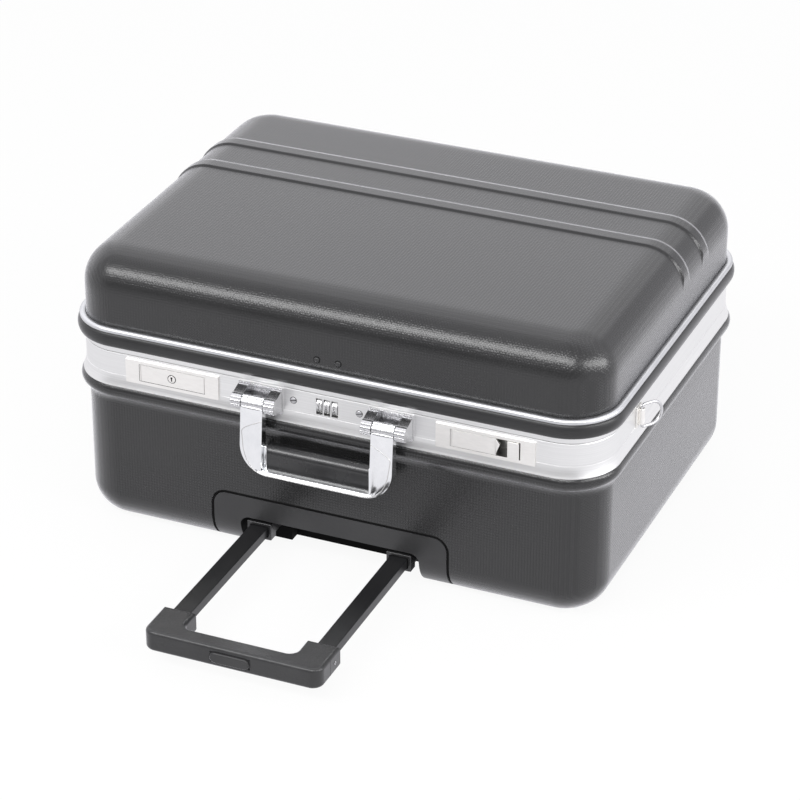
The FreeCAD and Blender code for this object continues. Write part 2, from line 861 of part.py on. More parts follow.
def trolley_grip():
    low = tube_z - pull_grip_height / 2
    front = grip_back - pull_grip_depth
    bar_back = front + pull_bar_depth
    outer = pull_grip_half
    inner = pull_leg_inner
    round_out = pull_grip_corner
    round_in = pull_grip_inner_corner
    bow_out = round_out * (1 - math.sqrt(0.5))
    bow_in = round_in * (1 - math.sqrt(0.5))
    corners = [Vector(outer, grip_back, low), Vector(inner, grip_back, low)]
    corners.append(Vector(inner, bar_back + round_in, low))
    corners.append((Vector(inner - bow_in, bar_back + bow_in, low), Vector(inner - round_in, bar_back, low)))
    corners.append(Vector(round_in - inner, bar_back, low))
    corners.append((Vector(bow_in - inner, bar_back + bow_in, low), Vector(-inner, bar_back + round_in, low)))
    corners += [Vector(-inner, grip_back, low), Vector(-outer, grip_back, low)]
    corners.append(Vector(-outer, front + round_out, low))
    corners.append((Vector(bow_out - outer, front + bow_out, low), Vector(round_out - outer, front, low)))
    corners.append(Vector(outer - round_out, front, low))
    corners.append((Vector(outer - bow_out, front + bow_out, low), Vector(outer, front + round_out, low)))
    grip = solid_between(traced(corners), Vector(0, 0, pull_grip_height))
    level = low + pull_grip_height / 2
    edges = [edge for edge in grip.Edges if abs(edge.CenterOfMass.z - level) > fit]
    grip = grip.makeFillet(pull_grip_edge, edges)
    sockets = [bar(x, 0, grip_back - pull_socket, grip_back + overrun, 0) for x in (-tube_x, tube_x)]
    half = push_width / 2 + fit
    tall = push_height / 2 + fit
    slot = block(-half, half, front - overrun, front + push_slot, tube_z - tall, tube_z + tall)
    return grip.cut(sockets + [slot])


def trolley_button():
    front = grip_back - pull_grip_depth
    half = push_width / 2
    tall = push_height / 2
    button = block(-half, half, front - push_proud, front + push_body, tube_z - tall, tube_z + tall)
    ends = [edge for edge in button.Edges
            if abs(edge.CenterOfMass.z - tube_z) > fit and abs(edge.CenterOfMass.x) > half - fit]
    return button.makeFillet(tall - fit, ends)


# Lid

def lid_rib(foot):
    # Rises gently from the back, drops at the front, follows the lid's top and dies into the side walls.
    half = half_width + lid_outset
    edge = half - lid_round
    bow = lid_round * math.sqrt(0.5)
    level = case_height - lid_round
    side = Vector(half, foot, level)
    bend = Vector(edge + bow, foot, level + bow)
    top = Vector(edge, foot, case_height)

    def flip(point):
        return Vector(-point.x, point.y, point.z)

    path = Part.Wire([
        Part.Arc(side, bend, top).toShape(),
        Part.LineSegment(top, flip(top)).toShape(),
        Part.Arc(flip(top), flip(bend), flip(side)).toShape(),
    ])
    steps = [(-rib_root, 0), (0, 0), (rib_height, rib_front), (0, rib_width), (-rib_root, rib_width)]
    section = traced([side + Vector(out, back, 0) for out, back in steps])
    rib = path.makePipeShell([section], True, False)
    return rib.common(block(-half, half, foot, foot + rib_width, level, case_height + overrun))


def lid_shell():
    outside = lid_form(0, lid_low).fuse([lid_rib(foot) for foot in rib_feet])
    hollow = lid_form(shell_wall, lid_low - overrun)
    return outside.cut([hollow] + plug_rods(overrun)).removeSplitter()


def plug_rods(proud):
    face = front_wall - lid_outset
    rods = []
    for x in plug_places:
        rods.append(rod(plug_radius, Vector(x, face - proud, plug_z), Vector(x, face + shell_wall, plug_z)))
    return rods


def lid_frame():
    strip_inner = band_outset - strip_thick
    lip_inside = -inner_lip_inset - inner_lip_thick
    corners = [(strip_inner, strip_low), (band_outset, strip_low), (band_outset, lid_low)]
    corners += [(lip_inside, lid_low), (lip_inside, strip_low), (-inner_lip_inset, strip_low)]
    corners += [(-inner_lip_inset, strip_high), (strip_inner, strip_high)]
    return ring(corners)


def lid_seal():
    strip_inner = band_outset - strip_thick
    low = parting_height + tongue_height + fit
    corners = [(-inner_lip_inset, low), (strip_inner, low), (strip_inner, strip_high)]
    return ring(corners + [(-inner_lip_inset, strip_high)])


def lid_bumper():
    crown = (bumper_outset, strip_high + bumper_height * bumper_crown_share)
    corners = [(band_outset, strip_high), (bumper_foot, strip_high), (crown, (bead_outset, bead_low))]
    return ring(corners + [(lid_outset, bead_low), (lid_outset, lid_low), (band_outset, lid_low)])


def lid_bead():
    bow = bead_round * (1 - math.sqrt(0.5))
    corners = [(lid_outset, bead_low), (bead_outset, bead_low), (bead_outset, bead_high - bead_round)]
    corners.append(((bead_outset - bow, bead_high - bow), (bead_outset - bead_round, bead_high)))
    return ring(corners + [(lid_outset, bead_high)])


# Knee stays, right side first: both arms keep parallel to the lines from the hinge to their pivots

def stay_points():
    base = Vector(0, hinge_y - stay_base_forward, hinge_z - stay_height)
    lid = Vector(0, hinge_y - stay_lid_forward, hinge_z + stay_height)
    knee = base + lid - Vector(0, hinge_y, hinge_z)
    return base, lid, knee


def stay_arm(x, start, end):
    away = end - start
    side = Vector(0, -away.z, away.y) * (stay_half / away.Length)
    tip = away * (stay_half / away.Length)
    place = Vector(x, 0, 0)
    corners = [place + start + side, place + end + side]
    corners.append((place + end + tip, place + end - side))
    corners.append(place + start - side)
    corners.append((place + start - tip, place + start + side))
    return solid_between(traced(corners), Vector(stay_thick, 0, 0))


def stay_rod(radius, point, x0, x1):
    return rod(radius, point + Vector(x0, 0, 0), point + Vector(x1, 0, 0))


def lid_arm_x():
    return stay_x - stay_thick - fit


def stay_base_arm():
    base, lid, knee = stay_points()
    arm = stay_arm(stay_x, base, knee).cut(stay_rod(stay_pin + pin_fit, base, 0, half_width))
    return arm.fuse(stay_rod(stay_pin, knee, lid_arm_x() - fit, stay_x + stay_thick)).removeSplitter()


def stay_lid_arm():
    base, lid, knee = stay_points()
    arm = stay_arm(lid_arm_x(), lid, knee).cut(stay_rod(stay_pin + pin_fit, lid, 0, half_width))
    return arm.cut(stay_rod(stay_pin + stay_knuckle_clear, knee, 0, half_width))


def stay_bracket(point, x0, wall):
    # Block on the side wall with a pin through the arm's eye.
    tall = stay_block
    rise = tall / 2
    seat = block(x0 + stay_thick + fit, wall, point.y - tall, point.y + tall, point.z - rise, point.z + rise)
    return seat.fuse(stay_rod(stay_pin, point, x0 - fit, wall)).removeSplitter()


def stay_base_bracket():
    return stay_bracket(stay_points()[0], stay_x, half_width - shell_wall)


def stay_lid_bracket():
    return stay_bracket(stay_points()[1], lid_arm_x(), half_width + lid_outset - shell_wall)


pieces = {
    "base_shell": base_shell(),
    "base_frame": base_frame(),
    "trolley_housing": trolley_housing(),
    "tube_cover": tube_cover(),
    "trolley_outer_tubes": both(trolley_outer_tube()),
    "wheel_housing_left": mirrored(wheel_housing()),
    "wheel_housing_right": wheel_housing(),
    "wheel_axles": both(wheel_axle()),
    "rear_feet": both(rear_foot()),
    "hinge_base_leaves": hinge_base_leaves(),
    "hinge_pins": Part.makeCompound([hinge_pin(x) for x in hinge_places]),
    "lock_case": lock_case(),
    "lock_screws": lock_screws(),
    "dial_axle": dial_axle(),
    "latch_plate_left": latch_plate(-latch_x),
    "latch_plate_right": latch_plate(latch_x),
    "latch_pins": Part.makeCompound([flap_pin(-latch_x), flap_pin(latch_x)]),
    "handle_bracket_left": handle_bracket(-bracket_x),
    "handle_bracket_right": handle_bracket(bracket_x),
    "handle_pins": Part.makeCompound([handle_pin(-bracket_x), handle_pin(bracket_x)]),
    "handle_bracket_screws": bracket_screws(),
    "strap_ring_holder_left": mirrored(strap_ring_holder()),
    "strap_ring_holder_right": strap_ring_holder(),
    "stay_base_brackets": both(stay_base_bracket()),
    "lid_shell": lid_shell(),
    "lid_frame": lid_frame(),
    "lid_seal": lid_seal(),
    "lid_bumper": lid_bumper(),
    "lid_bead": lid_bead(),
    "lid_front_plugs": Part.makeCompound(plug_rods(plug_proud)),
    "hinge_lid_leaves": hinge_lid_leaves(),
    "latch_strikes": Part.makeCompound([latch_strike(-latch_x), latch_strike(latch_x)]),
    "stay_lid_brackets": both(stay_lid_bracket()),
    "stay_base_arms": both(stay_base_arm()),
    "stay_lid_arms": both(stay_lid_arm()),
    "latch_flap_left": latch_flap_left(),
    "latch_flap_right": latch_flap(latch_x, short_flap_width),
    "key_cylinder": key_cylinder(),
    "slide_button": slide_button(),
    "latch_hook_left": latch_hook(-latch_x),
    "latch_hook_right": latch_hook(latch_x),
    "handle_bail": handle_bail(),
    "handle_grip": handle_grip(),
    "strap_ring_left": mirrored(strap_ring()),
    "strap_ring_right": strap_ring(),
    "trolley_middle_tubes": both(trolley_middle_tube()),
    "trolley_collars": both(trolley_collar()),
    "trolley_inner_tubes": both(trolley_inner_tube()),
    "trolley_grip": trolley_grip(),
    "trolley_button": trolley_button(),
    "wheel_hub_left": mirrored(wheel_hub()),
    "wheel_hub_right": wheel_hub(),
    "wheel_tyre_left": mirrored(wheel_tyre()),
    "wheel_tyre_right": wheel_tyre(),
}
for number, x in enumerate(dial_centres(), 1):
    pieces[f"dial_wheel_{number}"] = dial_wheel(x)

os.makedirs("parts", exist_ok=True)
for name, shape in pieces.items():
    shape.exportStep(f"parts/{name}.step")
    print(f"{name}: {len(shape.Solids)} solids, {shape.Volume:.0f} mm3, valid {shape.isValid()}")
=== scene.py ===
import cmath
import json
import math

import bmesh
import bpy
from mathutils import Matrix, Vector


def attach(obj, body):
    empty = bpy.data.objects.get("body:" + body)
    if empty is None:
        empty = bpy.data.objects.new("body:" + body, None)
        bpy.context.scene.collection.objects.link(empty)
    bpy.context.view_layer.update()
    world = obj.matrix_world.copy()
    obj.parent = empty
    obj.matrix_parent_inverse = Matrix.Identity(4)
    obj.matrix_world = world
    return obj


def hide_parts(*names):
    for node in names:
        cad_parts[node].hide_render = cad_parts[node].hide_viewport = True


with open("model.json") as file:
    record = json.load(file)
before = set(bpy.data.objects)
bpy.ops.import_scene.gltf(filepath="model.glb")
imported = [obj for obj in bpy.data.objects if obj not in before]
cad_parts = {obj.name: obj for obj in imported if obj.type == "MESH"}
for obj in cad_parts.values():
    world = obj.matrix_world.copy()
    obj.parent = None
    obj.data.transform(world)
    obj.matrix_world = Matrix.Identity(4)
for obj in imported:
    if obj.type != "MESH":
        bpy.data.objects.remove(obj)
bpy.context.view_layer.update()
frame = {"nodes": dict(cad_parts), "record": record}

print("frame loaded:", len(frame["nodes"]), "nodes")

record = frame["record"]
slotOf = {row["node"]: row["material_slot"] for row in record["subparts"]}
bodyOf = {}
for bodyName, members in record["behaviour"]["bodies"].items():
    for member in members:
        bodyOf[member] = bodyName


def newObject(name, data):
    made = bpy.data.objects.new(name, data)
    bpy.context.scene.collection.objects.link(made)
    return made


# Camera, at the photograph's place

view = {
    "lens": 143.25,
    "sensor": 36.0,
    "farthest": 50.0,
    "place": (0.964316, -2.290894, 1.431473),
    "right": (0.91984, 0.39230, 0.00150),
    "up": (-0.18893, 0.43964, 0.87808),
}


def setCamera():
    data = bpy.data.cameras.new("caseCamera")
    data.lens = view["lens"]
    data.sensor_width = view["sensor"]
    data.clip_end = view["farthest"]
    camera = newObject("caseCamera", data)
    right = Vector(view["right"]).normalized()
    up = Vector(view["up"])
    up = (up - right * up.dot(right)).normalized()
    turn = Matrix((right, up, right.cross(up))).transposed()
    camera.matrix_world = Matrix.Translation(view["place"]) @ turn.to_4x4()
    bpy.context.scene.camera = camera


setCamera()
print("camera set")


# Node helpers

def setSockets(tree, node, inputs):
    for name, value in inputs.items():
        if isinstance(value, bpy.types.NodeSocket):
            tree.links.new(value, node.inputs[name])
        else:
            node.inputs[name].default_value = value


def addNode(tree, kind, inputs=None, **settings):
    made = tree.nodes.new(kind)
    for name, value in settings.items():
        setattr(made, name, value)
    setSockets(tree, made, inputs or {})
    return made


def newGroup(name, kind, takes, gives):
    # each input has a label, a kind of socket and, where one is set, a usual value
    tree = bpy.data.node_groups.new(name, kind)
    for label, sort, *usual in takes:
        socket = tree.interface.new_socket(label, in_out="INPUT", socket_type="NodeSocket" + sort)
        if usual:
            socket.default_value = usual[0]
    for label, sort in gives:
        tree.interface.new_socket(label, in_out="OUTPUT", socket_type="NodeSocket" + sort)
    start = tree.nodes.new("NodeGroupInput")
    end = tree.nodes.new("NodeGroupOutput")
    return tree, start.outputs, end.inputs


def rangeOf(tree, value, low, high, start=0.0, end=1.0):
    limits = {"Value": value, "From Min": low, "From Max": high, "To Min": start, "To Max": end}
    return addNode(tree, "ShaderNodeMapRange", limits, clamp=True).outputs["Result"]


def mathOf(tree, operation, *values):
    made = addNode(tree, "ShaderNodeMath", dict(enumerate(values)), operation=operation)
    return made.outputs["Value"]


def noiseOf(tree, place, scale, detail, rough=0.5):
    sizes = {"Vector": place, "Scale": scale, "Detail": detail, "Roughness": rough}
    return addNode(tree, "ShaderNodeTexNoise", sizes).outputs["Fac"]


def rampOf(tree, value, dark, light):
    made = addNode(tree, "ShaderNodeValToRGB", {"Fac": value})
    made.color_ramp.elements[0].color = (*dark, 1.0)
    made.color_ramp.elements[1].color = (*light, 1.0)
    return made.outputs["Color"]


# Surface effects that several finishes share

def makeMouldedGrain():
    takes = [("Vector", "Vector"), ("Grain Scale", "Float", 1200.0), ("Cloud Scale", "Float", 14.0)]
    gives = [("Height", "Float"), ("Tone", "Float")]
    tree, start, end = newGroup("mouldedGrain", "ShaderNodeTree", takes, gives)
    pebble = noiseOf(tree, start["Vector"], start["Grain Scale"], 1.0, 0.4)
    cloud = noiseOf(tree, start["Vector"], start["Cloud Scale"], 4.0)
    tree.links.new(rangeOf(tree, pebble, 0.30, 0.70), end["Height"])
    tree.links.new(rangeOf(tree, cloud, 0.3, 0.7), end["Tone"])
    return tree


def makeBrushedStreaks():
    takes = [("Vector", "Vector"), ("Along", "Vector", (9.0, 9.0, 2600.0)), ("Cloud Scale", "Float", 20.0)]
    gives = [("Streak", "Float"), ("Tone", "Float")]
    tree, start, end = newGroup("brushedStreaks", "ShaderNodeTree", takes, gives)
    drawn = addNode(tree, "ShaderNodeVectorMath", {0: start["Vector"], 1: start["Along"]},
                    operation="MULTIPLY")
    hair = noiseOf(tree, drawn.outputs["Vector"], 1.0, 5.0, 0.65)
    cloud = noiseOf(tree, start["Vector"], start["Cloud Scale"], 3.0)
    tree.links.new(rangeOf(tree, hair, 0.25, 0.75), end["Streak"])
    tree.links.new(rangeOf(tree, cloud, 0.3, 0.7), end["Tone"])
    return tree


def makeFineWeave():
    # products of waves along neighbouring axes, which are dots on any flat face
    takes = [("Vector", "Vector"), ("Spacing", "Float", 0.0022)]
    tree, start, end = newGroup("fineWeave", "ShaderNodeTree", takes, [("Height", "Float")])
    turns = mathOf(tree, "DIVIDE", 2 * math.pi, start["Spacing"])
    wound = addNode(tree, "ShaderNodeVectorMath", {0: start["Vector"], "Scale": turns}, operation="SCALE")
    waves = addNode(tree, "ShaderNodeVectorMath", {0: wound.outputs["Vector"]}, operation="COSINE")
    axes = addNode(tree, "ShaderNodeSeparateXYZ", {"Vector": waves.outputs["Vector"]}).outputs
    crossed = addNode(tree, "ShaderNodeCombineXYZ", {"X": axes["Y"], "Y": axes["Z"], "Z": axes["X"]})
    weave = addNode(tree, "ShaderNodeVectorMath",
                    {0: waves.outputs["Vector"], 1: crossed.outputs["Vector"]}, operation="DOT_PRODUCT")
    tree.links.new(rangeOf(tree, weave.outputs["Value"], -1.0, 2.0), end["Height"])
    return tree


mouldedGrain = makeMouldedGrain()
fineWeave = makeFineWeave()
brushedStreaks = makeBrushedStreaks()


def newFinish(name):
    material = bpy.data.materials.new(name)
    material.use_nodes = True
    tree = material.node_tree
    place = addNode(tree, "ShaderNodeTexCoord").outputs["Object"]
    return material, tree, tree.nodes["Principled BSDF"], place


# coat and sheen of every plastic, and the share of the coat that is left in the hollows of the weave
coating = {
    "rough": 0.24,
    "sheenRough": 0.30,
    "sheenTint": (0.95, 0.945, 1.0, 1.0),
    "hollowRange": (0.1, 0.6),
    "hollowShare": 0.52,
}


def plasticFinish(name, look):
    material, tree, shader, place = newFinish(name)
    sizes = {"Vector": place, "Grain Scale": look["grain"], "Cloud Scale": look["cloud"]}
    grain = addNode(tree, "ShaderNodeGroup", sizes, node_tree=mouldedGrain).outputs
    height = grain["Height"]
    if "weave" in look:
        sizes = {"Vector": place, "Spacing": look["weave"]}
        weave = addNode(tree, "ShaderNodeGroup", sizes, node_tree=fineWeave).outputs["Height"]
        height = mathOf(tree, "ADD", height, weave)
        least = look["coat"] * coating["hollowShare"]
        coat = rangeOf(tree, weave, *coating["hollowRange"], least, look["coat"])
        tree.links.new(coat, shader.inputs["Coat Weight"])
    relief = {"Height": height, "Strength": look["bump"], "Distance": look["depth"]}
    setSockets(tree, shader, {
        "Base Color": rampOf(tree, grain["Tone"], look["dark"], look["light"]),
        "Roughness": rangeOf(tree, grain["Tone"], 0.0, 1.0, *look["rough"]),
        "Normal": addNode(tree, "ShaderNodeBump", relief).outputs["Normal"],
        "IOR": look["ior"],
        "Coat Weight": look["coat"],
        "Coat Roughness": coating["rough"],
        "Coat IOR": look["ior"],
        "Sheen Tint": coating["sheenTint"],
        "Sheen Weight": look["sheen"],
        "Sheen Roughness": coating["sheenRough"],
    })
    return material


def metalFinish(name, look):
    material, tree, shader, place = newFinish(name)
    sizes = {"Vector": place, "Along": look["along"], "Cloud Scale": look["cloud"]}
    drawn = addNode(tree, "ShaderNodeGroup", sizes, node_tree=brushedStreaks).outputs
    blended = mathOf(tree, "ADD", drawn["Streak"], drawn["Tone"])
    relief = {"Height": drawn["Streak"], "Strength": look["bump"], "Distance": look["depth"]}
    setSockets(tree, shader, {
        "Base Color": rampOf(tree, drawn["Streak"], look["dark"], look["light"]),
        "Roughness": rangeOf(tree, blended, 0.0, 2.0, *look["rough"]),
        "Normal": addNode(tree, "ShaderNodeBump", relief).outputs["Normal"],
        "Metallic": look["metallic"],
    })
    return material


# each finish gives only what differs from the usual one
usualPlastic = {"grain": 700.0, "cloud": 30.0, "rough": (0.62, 0.75), "bump": 0.25, "depth": 0.0002,
                "ior": 1.48, "coat": 0.0, "sheen": 0.0}

plastics = {
    "shell_black": {"dark": (0.0155, 0.0155, 0.016), "light": (0.0195, 0.0195, 0.020), "grain": 520.0,
                    "cloud": 9.0, "rough": (0.20, 0.24), "bump": 0.36, "depth": 0.00025, "ior": 1.38,
                    "coat": 1.0, "sheen": 0.60, "weave": 0.0026},
    "bumper_black": {"dark": (0.018, 0.018, 0.019), "light": (0.023, 0.023, 0.024), "cloud": 20.0,
                     "rough": (0.36, 0.44), "bump": 0.12, "ior": 1.36, "coat": 0.4, "sheen": 0.35},
    "trolley_plastic": {"dark": (0.022, 0.022, 0.023), "light": (0.030, 0.030, 0.031), "grain": 620.0,
                        "rough": (0.30, 0.38), "ior": 1.50, "sheen": 0.60},
    "grip_black": {"dark": (0.012, 0.012, 0.013), "light": (0.018, 0.018, 0.019), "cloud": 40.0,
                   "rough": (0.24, 0.30), "bump": 0.12, "ior": 1.62, "sheen": 0.05},
    "tyre_rubber": {"dark": (0.020, 0.020, 0.021), "light": (0.034, 0.034, 0.034), "sheen": 0.10},
    "seal_rubber": {"dark": (0.012, 0.012, 0.013), "light": (0.018, 0.018, 0.019)},
    # near-black painted shade, laid in gaps, wells and the pocket where shade falls
    "gap_black": {"dark": (0.003, 0.003, 0.003), "light": (0.006, 0.006, 0.006), "rough": (0.70, 0.85),
                  "bump": 0.15, "ior": 1.20},
}

usualMetal = {"along": (60.0, 60.0, 60.0), "cloud": 60.0, "bump": 0.01, "depth": 0.0001, "metallic": 1.0}

metals = {
    "frame_aluminium": {"dark": (0.75, 0.75, 0.745), "light": (0.885, 0.885, 0.875),
                        "along": (8.0, 8.0, 2400.0), "cloud": 9.0, "rough": (0.26, 0.42), "bump": 0.06},
    "bead_aluminium": {"dark": (0.60, 0.605, 0.62), "light": (0.70, 0.705, 0.72), "cloud": 9.0,
                       "rough": (0.34, 0.42), "bump": 0.0},
    "nickel_plate": {"dark": (0.88, 0.865, 0.835), "light": (0.95, 0.935, 0.905),
                     "along": (140.0, 140.0, 500.0), "rough": (0.34, 0.46), "bump": 0.02},
    "bracket_satin": {"dark": (0.56, 0.56, 0.57), "light": (0.72, 0.72, 0.73),
                      "along": (900.0, 60.0, 60.0), "rough": (0.22, 0.30)},
    "handle_chrome": {"dark": (0.80, 0.81, 0.82), "light": (0.92, 0.925, 0.93), "cloud": 30.0,
                      "rough": (0.06, 0.14)},
    "dial_metal": {"dark": (0.66, 0.66, 0.66), "light": (0.84, 0.84, 0.84), "along": (2600.0, 60.0, 60.0),
                   "cloud": 90.0, "rough": (0.28, 0.42), "bump": 0.04},
    "fitting_steel": {"dark": (0.48, 0.48, 0.49), "light": (0.64, 0.64, 0.65), "along": (90.0, 90.0, 900.0),
                      "cloud": 40.0, "rough": (0.28, 0.44), "bump": 0.04},
    "well_grey": {"dark": (0.52, 0.515, 0.50), "light": (0.66, 0.655, 0.64), "rough": (0.32, 0.42),
                  "bump": 0.0},
    "tube_black": {"dark": (0.008, 0.008, 0.009), "light": (0.016, 0.016, 0.017),
                   "along": (1400.0, 9.0, 1400.0), "cloud": 30.0, "rough": (0.30, 0.40), "bump": 0.03,
                   "metallic": 0.0},
}

finishes = {}
for finishName, look in plastics.items():
    finishes[finishName] = plasticFinish(finishName, {**usualPlastic, **look})
for finishName, look in metals.items():
    finishes[finishName] = metalFinish(finishName, {**usualMetal, **look})

for nodeName, node in frame["nodes"].items():
    node.data.materials.clear()
    node.data.materials.append(finishes[slotOf[nodeName]])
print("finishes made:", len(finishes))


# Piece helpers

# points nearer than this are one point, and faces flatter than this one face
merging = {"copies": 0.000002, "shapes": 0.000001, "skin": 0.000005, "flat": 0.4}

# angles in degrees over which an edge is bevelled or shown sharp
edgeAngles = {"bevel": 38.0, "usual": 34.0, "inset": 30.0, "items": 32.0, "turned": 40.0, "cords": 50.0}


def newPiece(name, points, faces=(), edges=()):
    mesh = bpy.data.meshes.new(name)
    mesh.from_pydata(points, edges, faces)
    mesh.update()
    return newObject(name, mesh)


def addTo(piece, body, slot, look=None):
    piece.data.materials.clear()
    piece.data.materials.append(finishes[look or slot])
    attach(piece, body)


def standFor(piece, nodeName, look=None):
    addTo(piece, bodyOf[nodeName], slotOf[nodeName], look)
    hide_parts(nodeName)


def smoothFaces(mesh, angle):
    for face in mesh.polygons:
        face.use_smooth = True
    mesh.set_sharp_from_angle(angle=math.radians(angle))


def softenEdges(piece, width, steps):
    bevel = piece.modifiers.new("softEdges", "BEVEL")
    bevel.width = width
    bevel.segments = steps
    bevel.limit_method = "ANGLE"
    bevel.angle_limit = math.radians(edgeAngles["bevel"])
    bevel.use_clamp_overlap = True
    bevel.miter_outer = "MITER_ARC"


def evenNormals(piece):
    even = piece.modifiers.new("evenNormals", "WEIGHTED_NORMAL")
    even.mode = "FACE_AREA"
    even.weight = 50
    even.keep_sharp = True


def roundOff(piece, angle=edgeAngles["usual"], edge=0.0, steps=2, even=False):
    smoothFaces(piece.data, angle)
    if edge > 0:
        softenEdges(piece, edge, steps)
    if even:
        evenNormals(piece)
    return piece


def faceOutwards(mesh):
    work = bmesh.new()
    work.from_mesh(mesh)
    bmesh.ops.remove_doubles(work, verts=work.verts, dist=merging["shapes"])
    bmesh.ops.recalc_face_normals(work, faces=work.faces)
    work.to_mesh(mesh)
    work.free()


def makePiece(name, shape, **rounding):
    piece = newPiece(name, *shape)
    faceOutwards(piece.data)
    return roundOff(piece, **rounding)


def pieceName(nodeName):
    first, *words = nodeName.split("_")
    return first + "".join(word.capitalize() for word in words)


def plainShape(work):
    work.verts.index_update()
    points = [vert.co.copy() for vert in work.verts]
    faces = [[vert.index for vert in face.verts] for face in work.faces]
    work.free()
    return points, faces


def mergedCopy(nodeName):
    work = bmesh.new()
    work.from_mesh(frame["nodes"][nodeName].data)
    bmesh.ops.remove_doubles(work, verts=work.verts, dist=merging["copies"])
    bmesh.ops.dissolve_limit(work, angle_limit=math.radians(merging["flat"]), use_dissolve_boundaries=False,
                             verts=work.verts, edges=work.edges, delimit=set())
    return newPiece(pieceName(nodeName), *plainShape(work))


def insetCopy(nodeName, edge, inset, isInset):
    # one closed copy whose sunk faces have a finish of their own, near-black painted shade in the pocket and
    # the left latch's well
    piece = roundOff(mergedCopy(nodeName), edgeAngles["inset"], edge, even=True)
    standFor(piece, nodeName)
    piece.data.materials.append(finishes[inset])
    for face in piece.data.polygons:
        if isInset(face.center):
            face.material_index = 1


# Shape helpers: each gives points and faces

def gridFaces(rows, columns, first=0, wrapColumns=True, wrapRows=False):
    # four-sided faces between rows of points
    faces = []
    for row in range(rows if wrapRows else rows - 1):
        here = first + row * columns
        after = first + (row + 1) % rows * columns
        for column in range(columns if wrapColumns else columns - 1):
            beside = (column + 1) % columns
            faces.append((here + column, here + beside, after + beside, after + column))
    return faces


def inMetres(section):
    return [(first * 0.001, second * 0.001) for first, second in section]


def arcSpots(across, up, radius, first, sweep, steps):
    turns = [math.radians(first + sweep * step / steps) for step in range(steps + 1)]
    return [(across + radius * math.cos(turn), up + radius * math.sin(turn)) for turn in turns]


def arcThrough(first, middle, last, steps):
    # arc of less than half a turn through three spots
    a, b, c = complex(*first), complex(*middle), complex(*last)
    lean = (c - a) / (b - a)
    centre = a + (b - a) * (lean - abs(lean) ** 2) / (lean - lean.conjugate())
    sweep = cmath.phase((c - centre) / (a - centre))
    spots = [centre + (a - centre) * cmath.exp(1j * sweep * step / steps) for step in range(steps + 1)]
    return [(spot.real, spot.imag) for spot in spots]


def ovalOutline(y, z, deep, tall, steps):
    turns = [2 * math.pi * step / steps for step in range(steps)]
    return [(y - deep * math.cos(turn), z + tall * math.sin(turn)) for turn in turns]


def boxMesh(low, high):
    x0, y0, z0 = low
    x1, y1, z1 = high
    points = [(x0, y0, z0), (x1, y0, z0), (x1, y1, z0), (x0, y1, z0),
              (x0, y0, z1), (x1, y0, z1), (x1, y1, z1), (x0, y1, z1)]
    faces = [(0, 3, 2, 1), (4, 5, 6, 7), (0, 1, 5, 4), (1, 2, 6, 5), (2, 3, 7, 6), (3, 0, 4, 7)]
    return points, faces


def joinShapes(*shapes):
    points = []
    faces = []
    for more, sides in shapes:
        faces += [tuple(index + len(points) for index in side) for side in sides]
        points += more
    return points, faces


def latheMesh(section, steps):
    points = []
    for step in range(steps):
        turn = 2 * math.pi * step / steps
        points += [(out * math.cos(turn), out * math.sin(turn), high) for out, high in section]
    return points, gridFaces(steps, len(section), wrapRows=True)


def ringMesh(inner, outer, height, steps):
    return latheMesh([(inner, 0.0), (outer, 0.0), (outer, height), (inner, height)], steps)


def prismMesh(outline, low, high, axis):
    # outline of two coordinates carried along the third
    count = len(outline)
    points = []
    for level in (low, high):
        for first, second in outline:
            spots = {"x": (level, first, second), "y": (first, level, second), "z": (first, second, level)}
            points.append(spots[axis])
    faces = [tuple(range(count)), tuple(reversed(range(count, 2 * count)))]
    return points, faces + gridFaces(2, count)


# screw heads: steps round each half, and rows of width and height
screwHead = {
    "steps": 14,
    "rows": ((1.0, 0.0), (1.0, 0.55), (0.82, 1.0)),
    "shadeWide": 1.14,
    "shadeTall": 0.16,
    "shadeSteps": 24,
}


def screwShapes(radius, height, slot, angle):
    # a slotted head in two halves, and a dark disc under it that shows in the slot and round the head as
    # painted shade
    steps = screwHead["steps"]
    count = steps + 1
    points = []
    faces = []
    for side in (1, -1):
        first = len(points)
        for share, level in screwHead["rows"]:
            out = radius * share
            reach = math.acos(slot / out)
            for step in range(count):
                turn = reach * (2 * step / steps - 1)
                points.append((out * math.sin(turn), side * out * math.cos(turn), height * level))
        faces += gridFaces(3, count, first)
        faces.append(tuple(range(first, first + count)))
        faces.append(tuple(reversed(range(first + 2 * count, first + 3 * count))))
    lean = Matrix.Rotation(math.radians(angle), 3, "Z")
    head = ([tuple(lean @ Vector(point)) for point in points], faces)
    shade = ringMesh(0.0, radius * screwHead["shadeWide"], height * screwHead["shadeTall"],
                     screwHead["shadeSteps"])
    return head, shade


# Baking helpers for node trees and cuts

def bakedMesh(piece):
    graph = bpy.context.evaluated_depsgraph_get()
    graph.update()
    return bpy.data.meshes.new_from_object(piece.evaluated_get(graph))


def bakePiece(piece):
    mesh = bakedMesh(piece)
    piece.modifiers.clear()
    old = piece.data
    piece.data = mesh
    bpy.data.meshes.remove(old)


def runTree(piece, tree, values):
    modifier = piece.modifiers.new(tree.name, "NODES")
    modifier.node_group = tree
    for item in tree.interface.items_tree:
        if item.item_type == "SOCKET" and item.in_out == "INPUT" and item.name in values:
            modifier[item.identifier] = values[item.name]
    bakePiece(piece)
    faceOutwards(piece.data)


def cutBoxes(piece, boxes):
    cutter = newPiece("cutter", *joinShapes(*[boxMesh(low, high) for low, high in boxes]))
    cut = piece.modifiers.new("cut", "BOOLEAN")
    cut.operation = "DIFFERENCE"
    cut.solver = "EXACT"
    cut.object = cutter
    bakePiece(piece)
    bpy.data.objects.remove(cutter)


# Node trees: items set on spots, copies turned round an axis, a cord along a path, a section round a rim

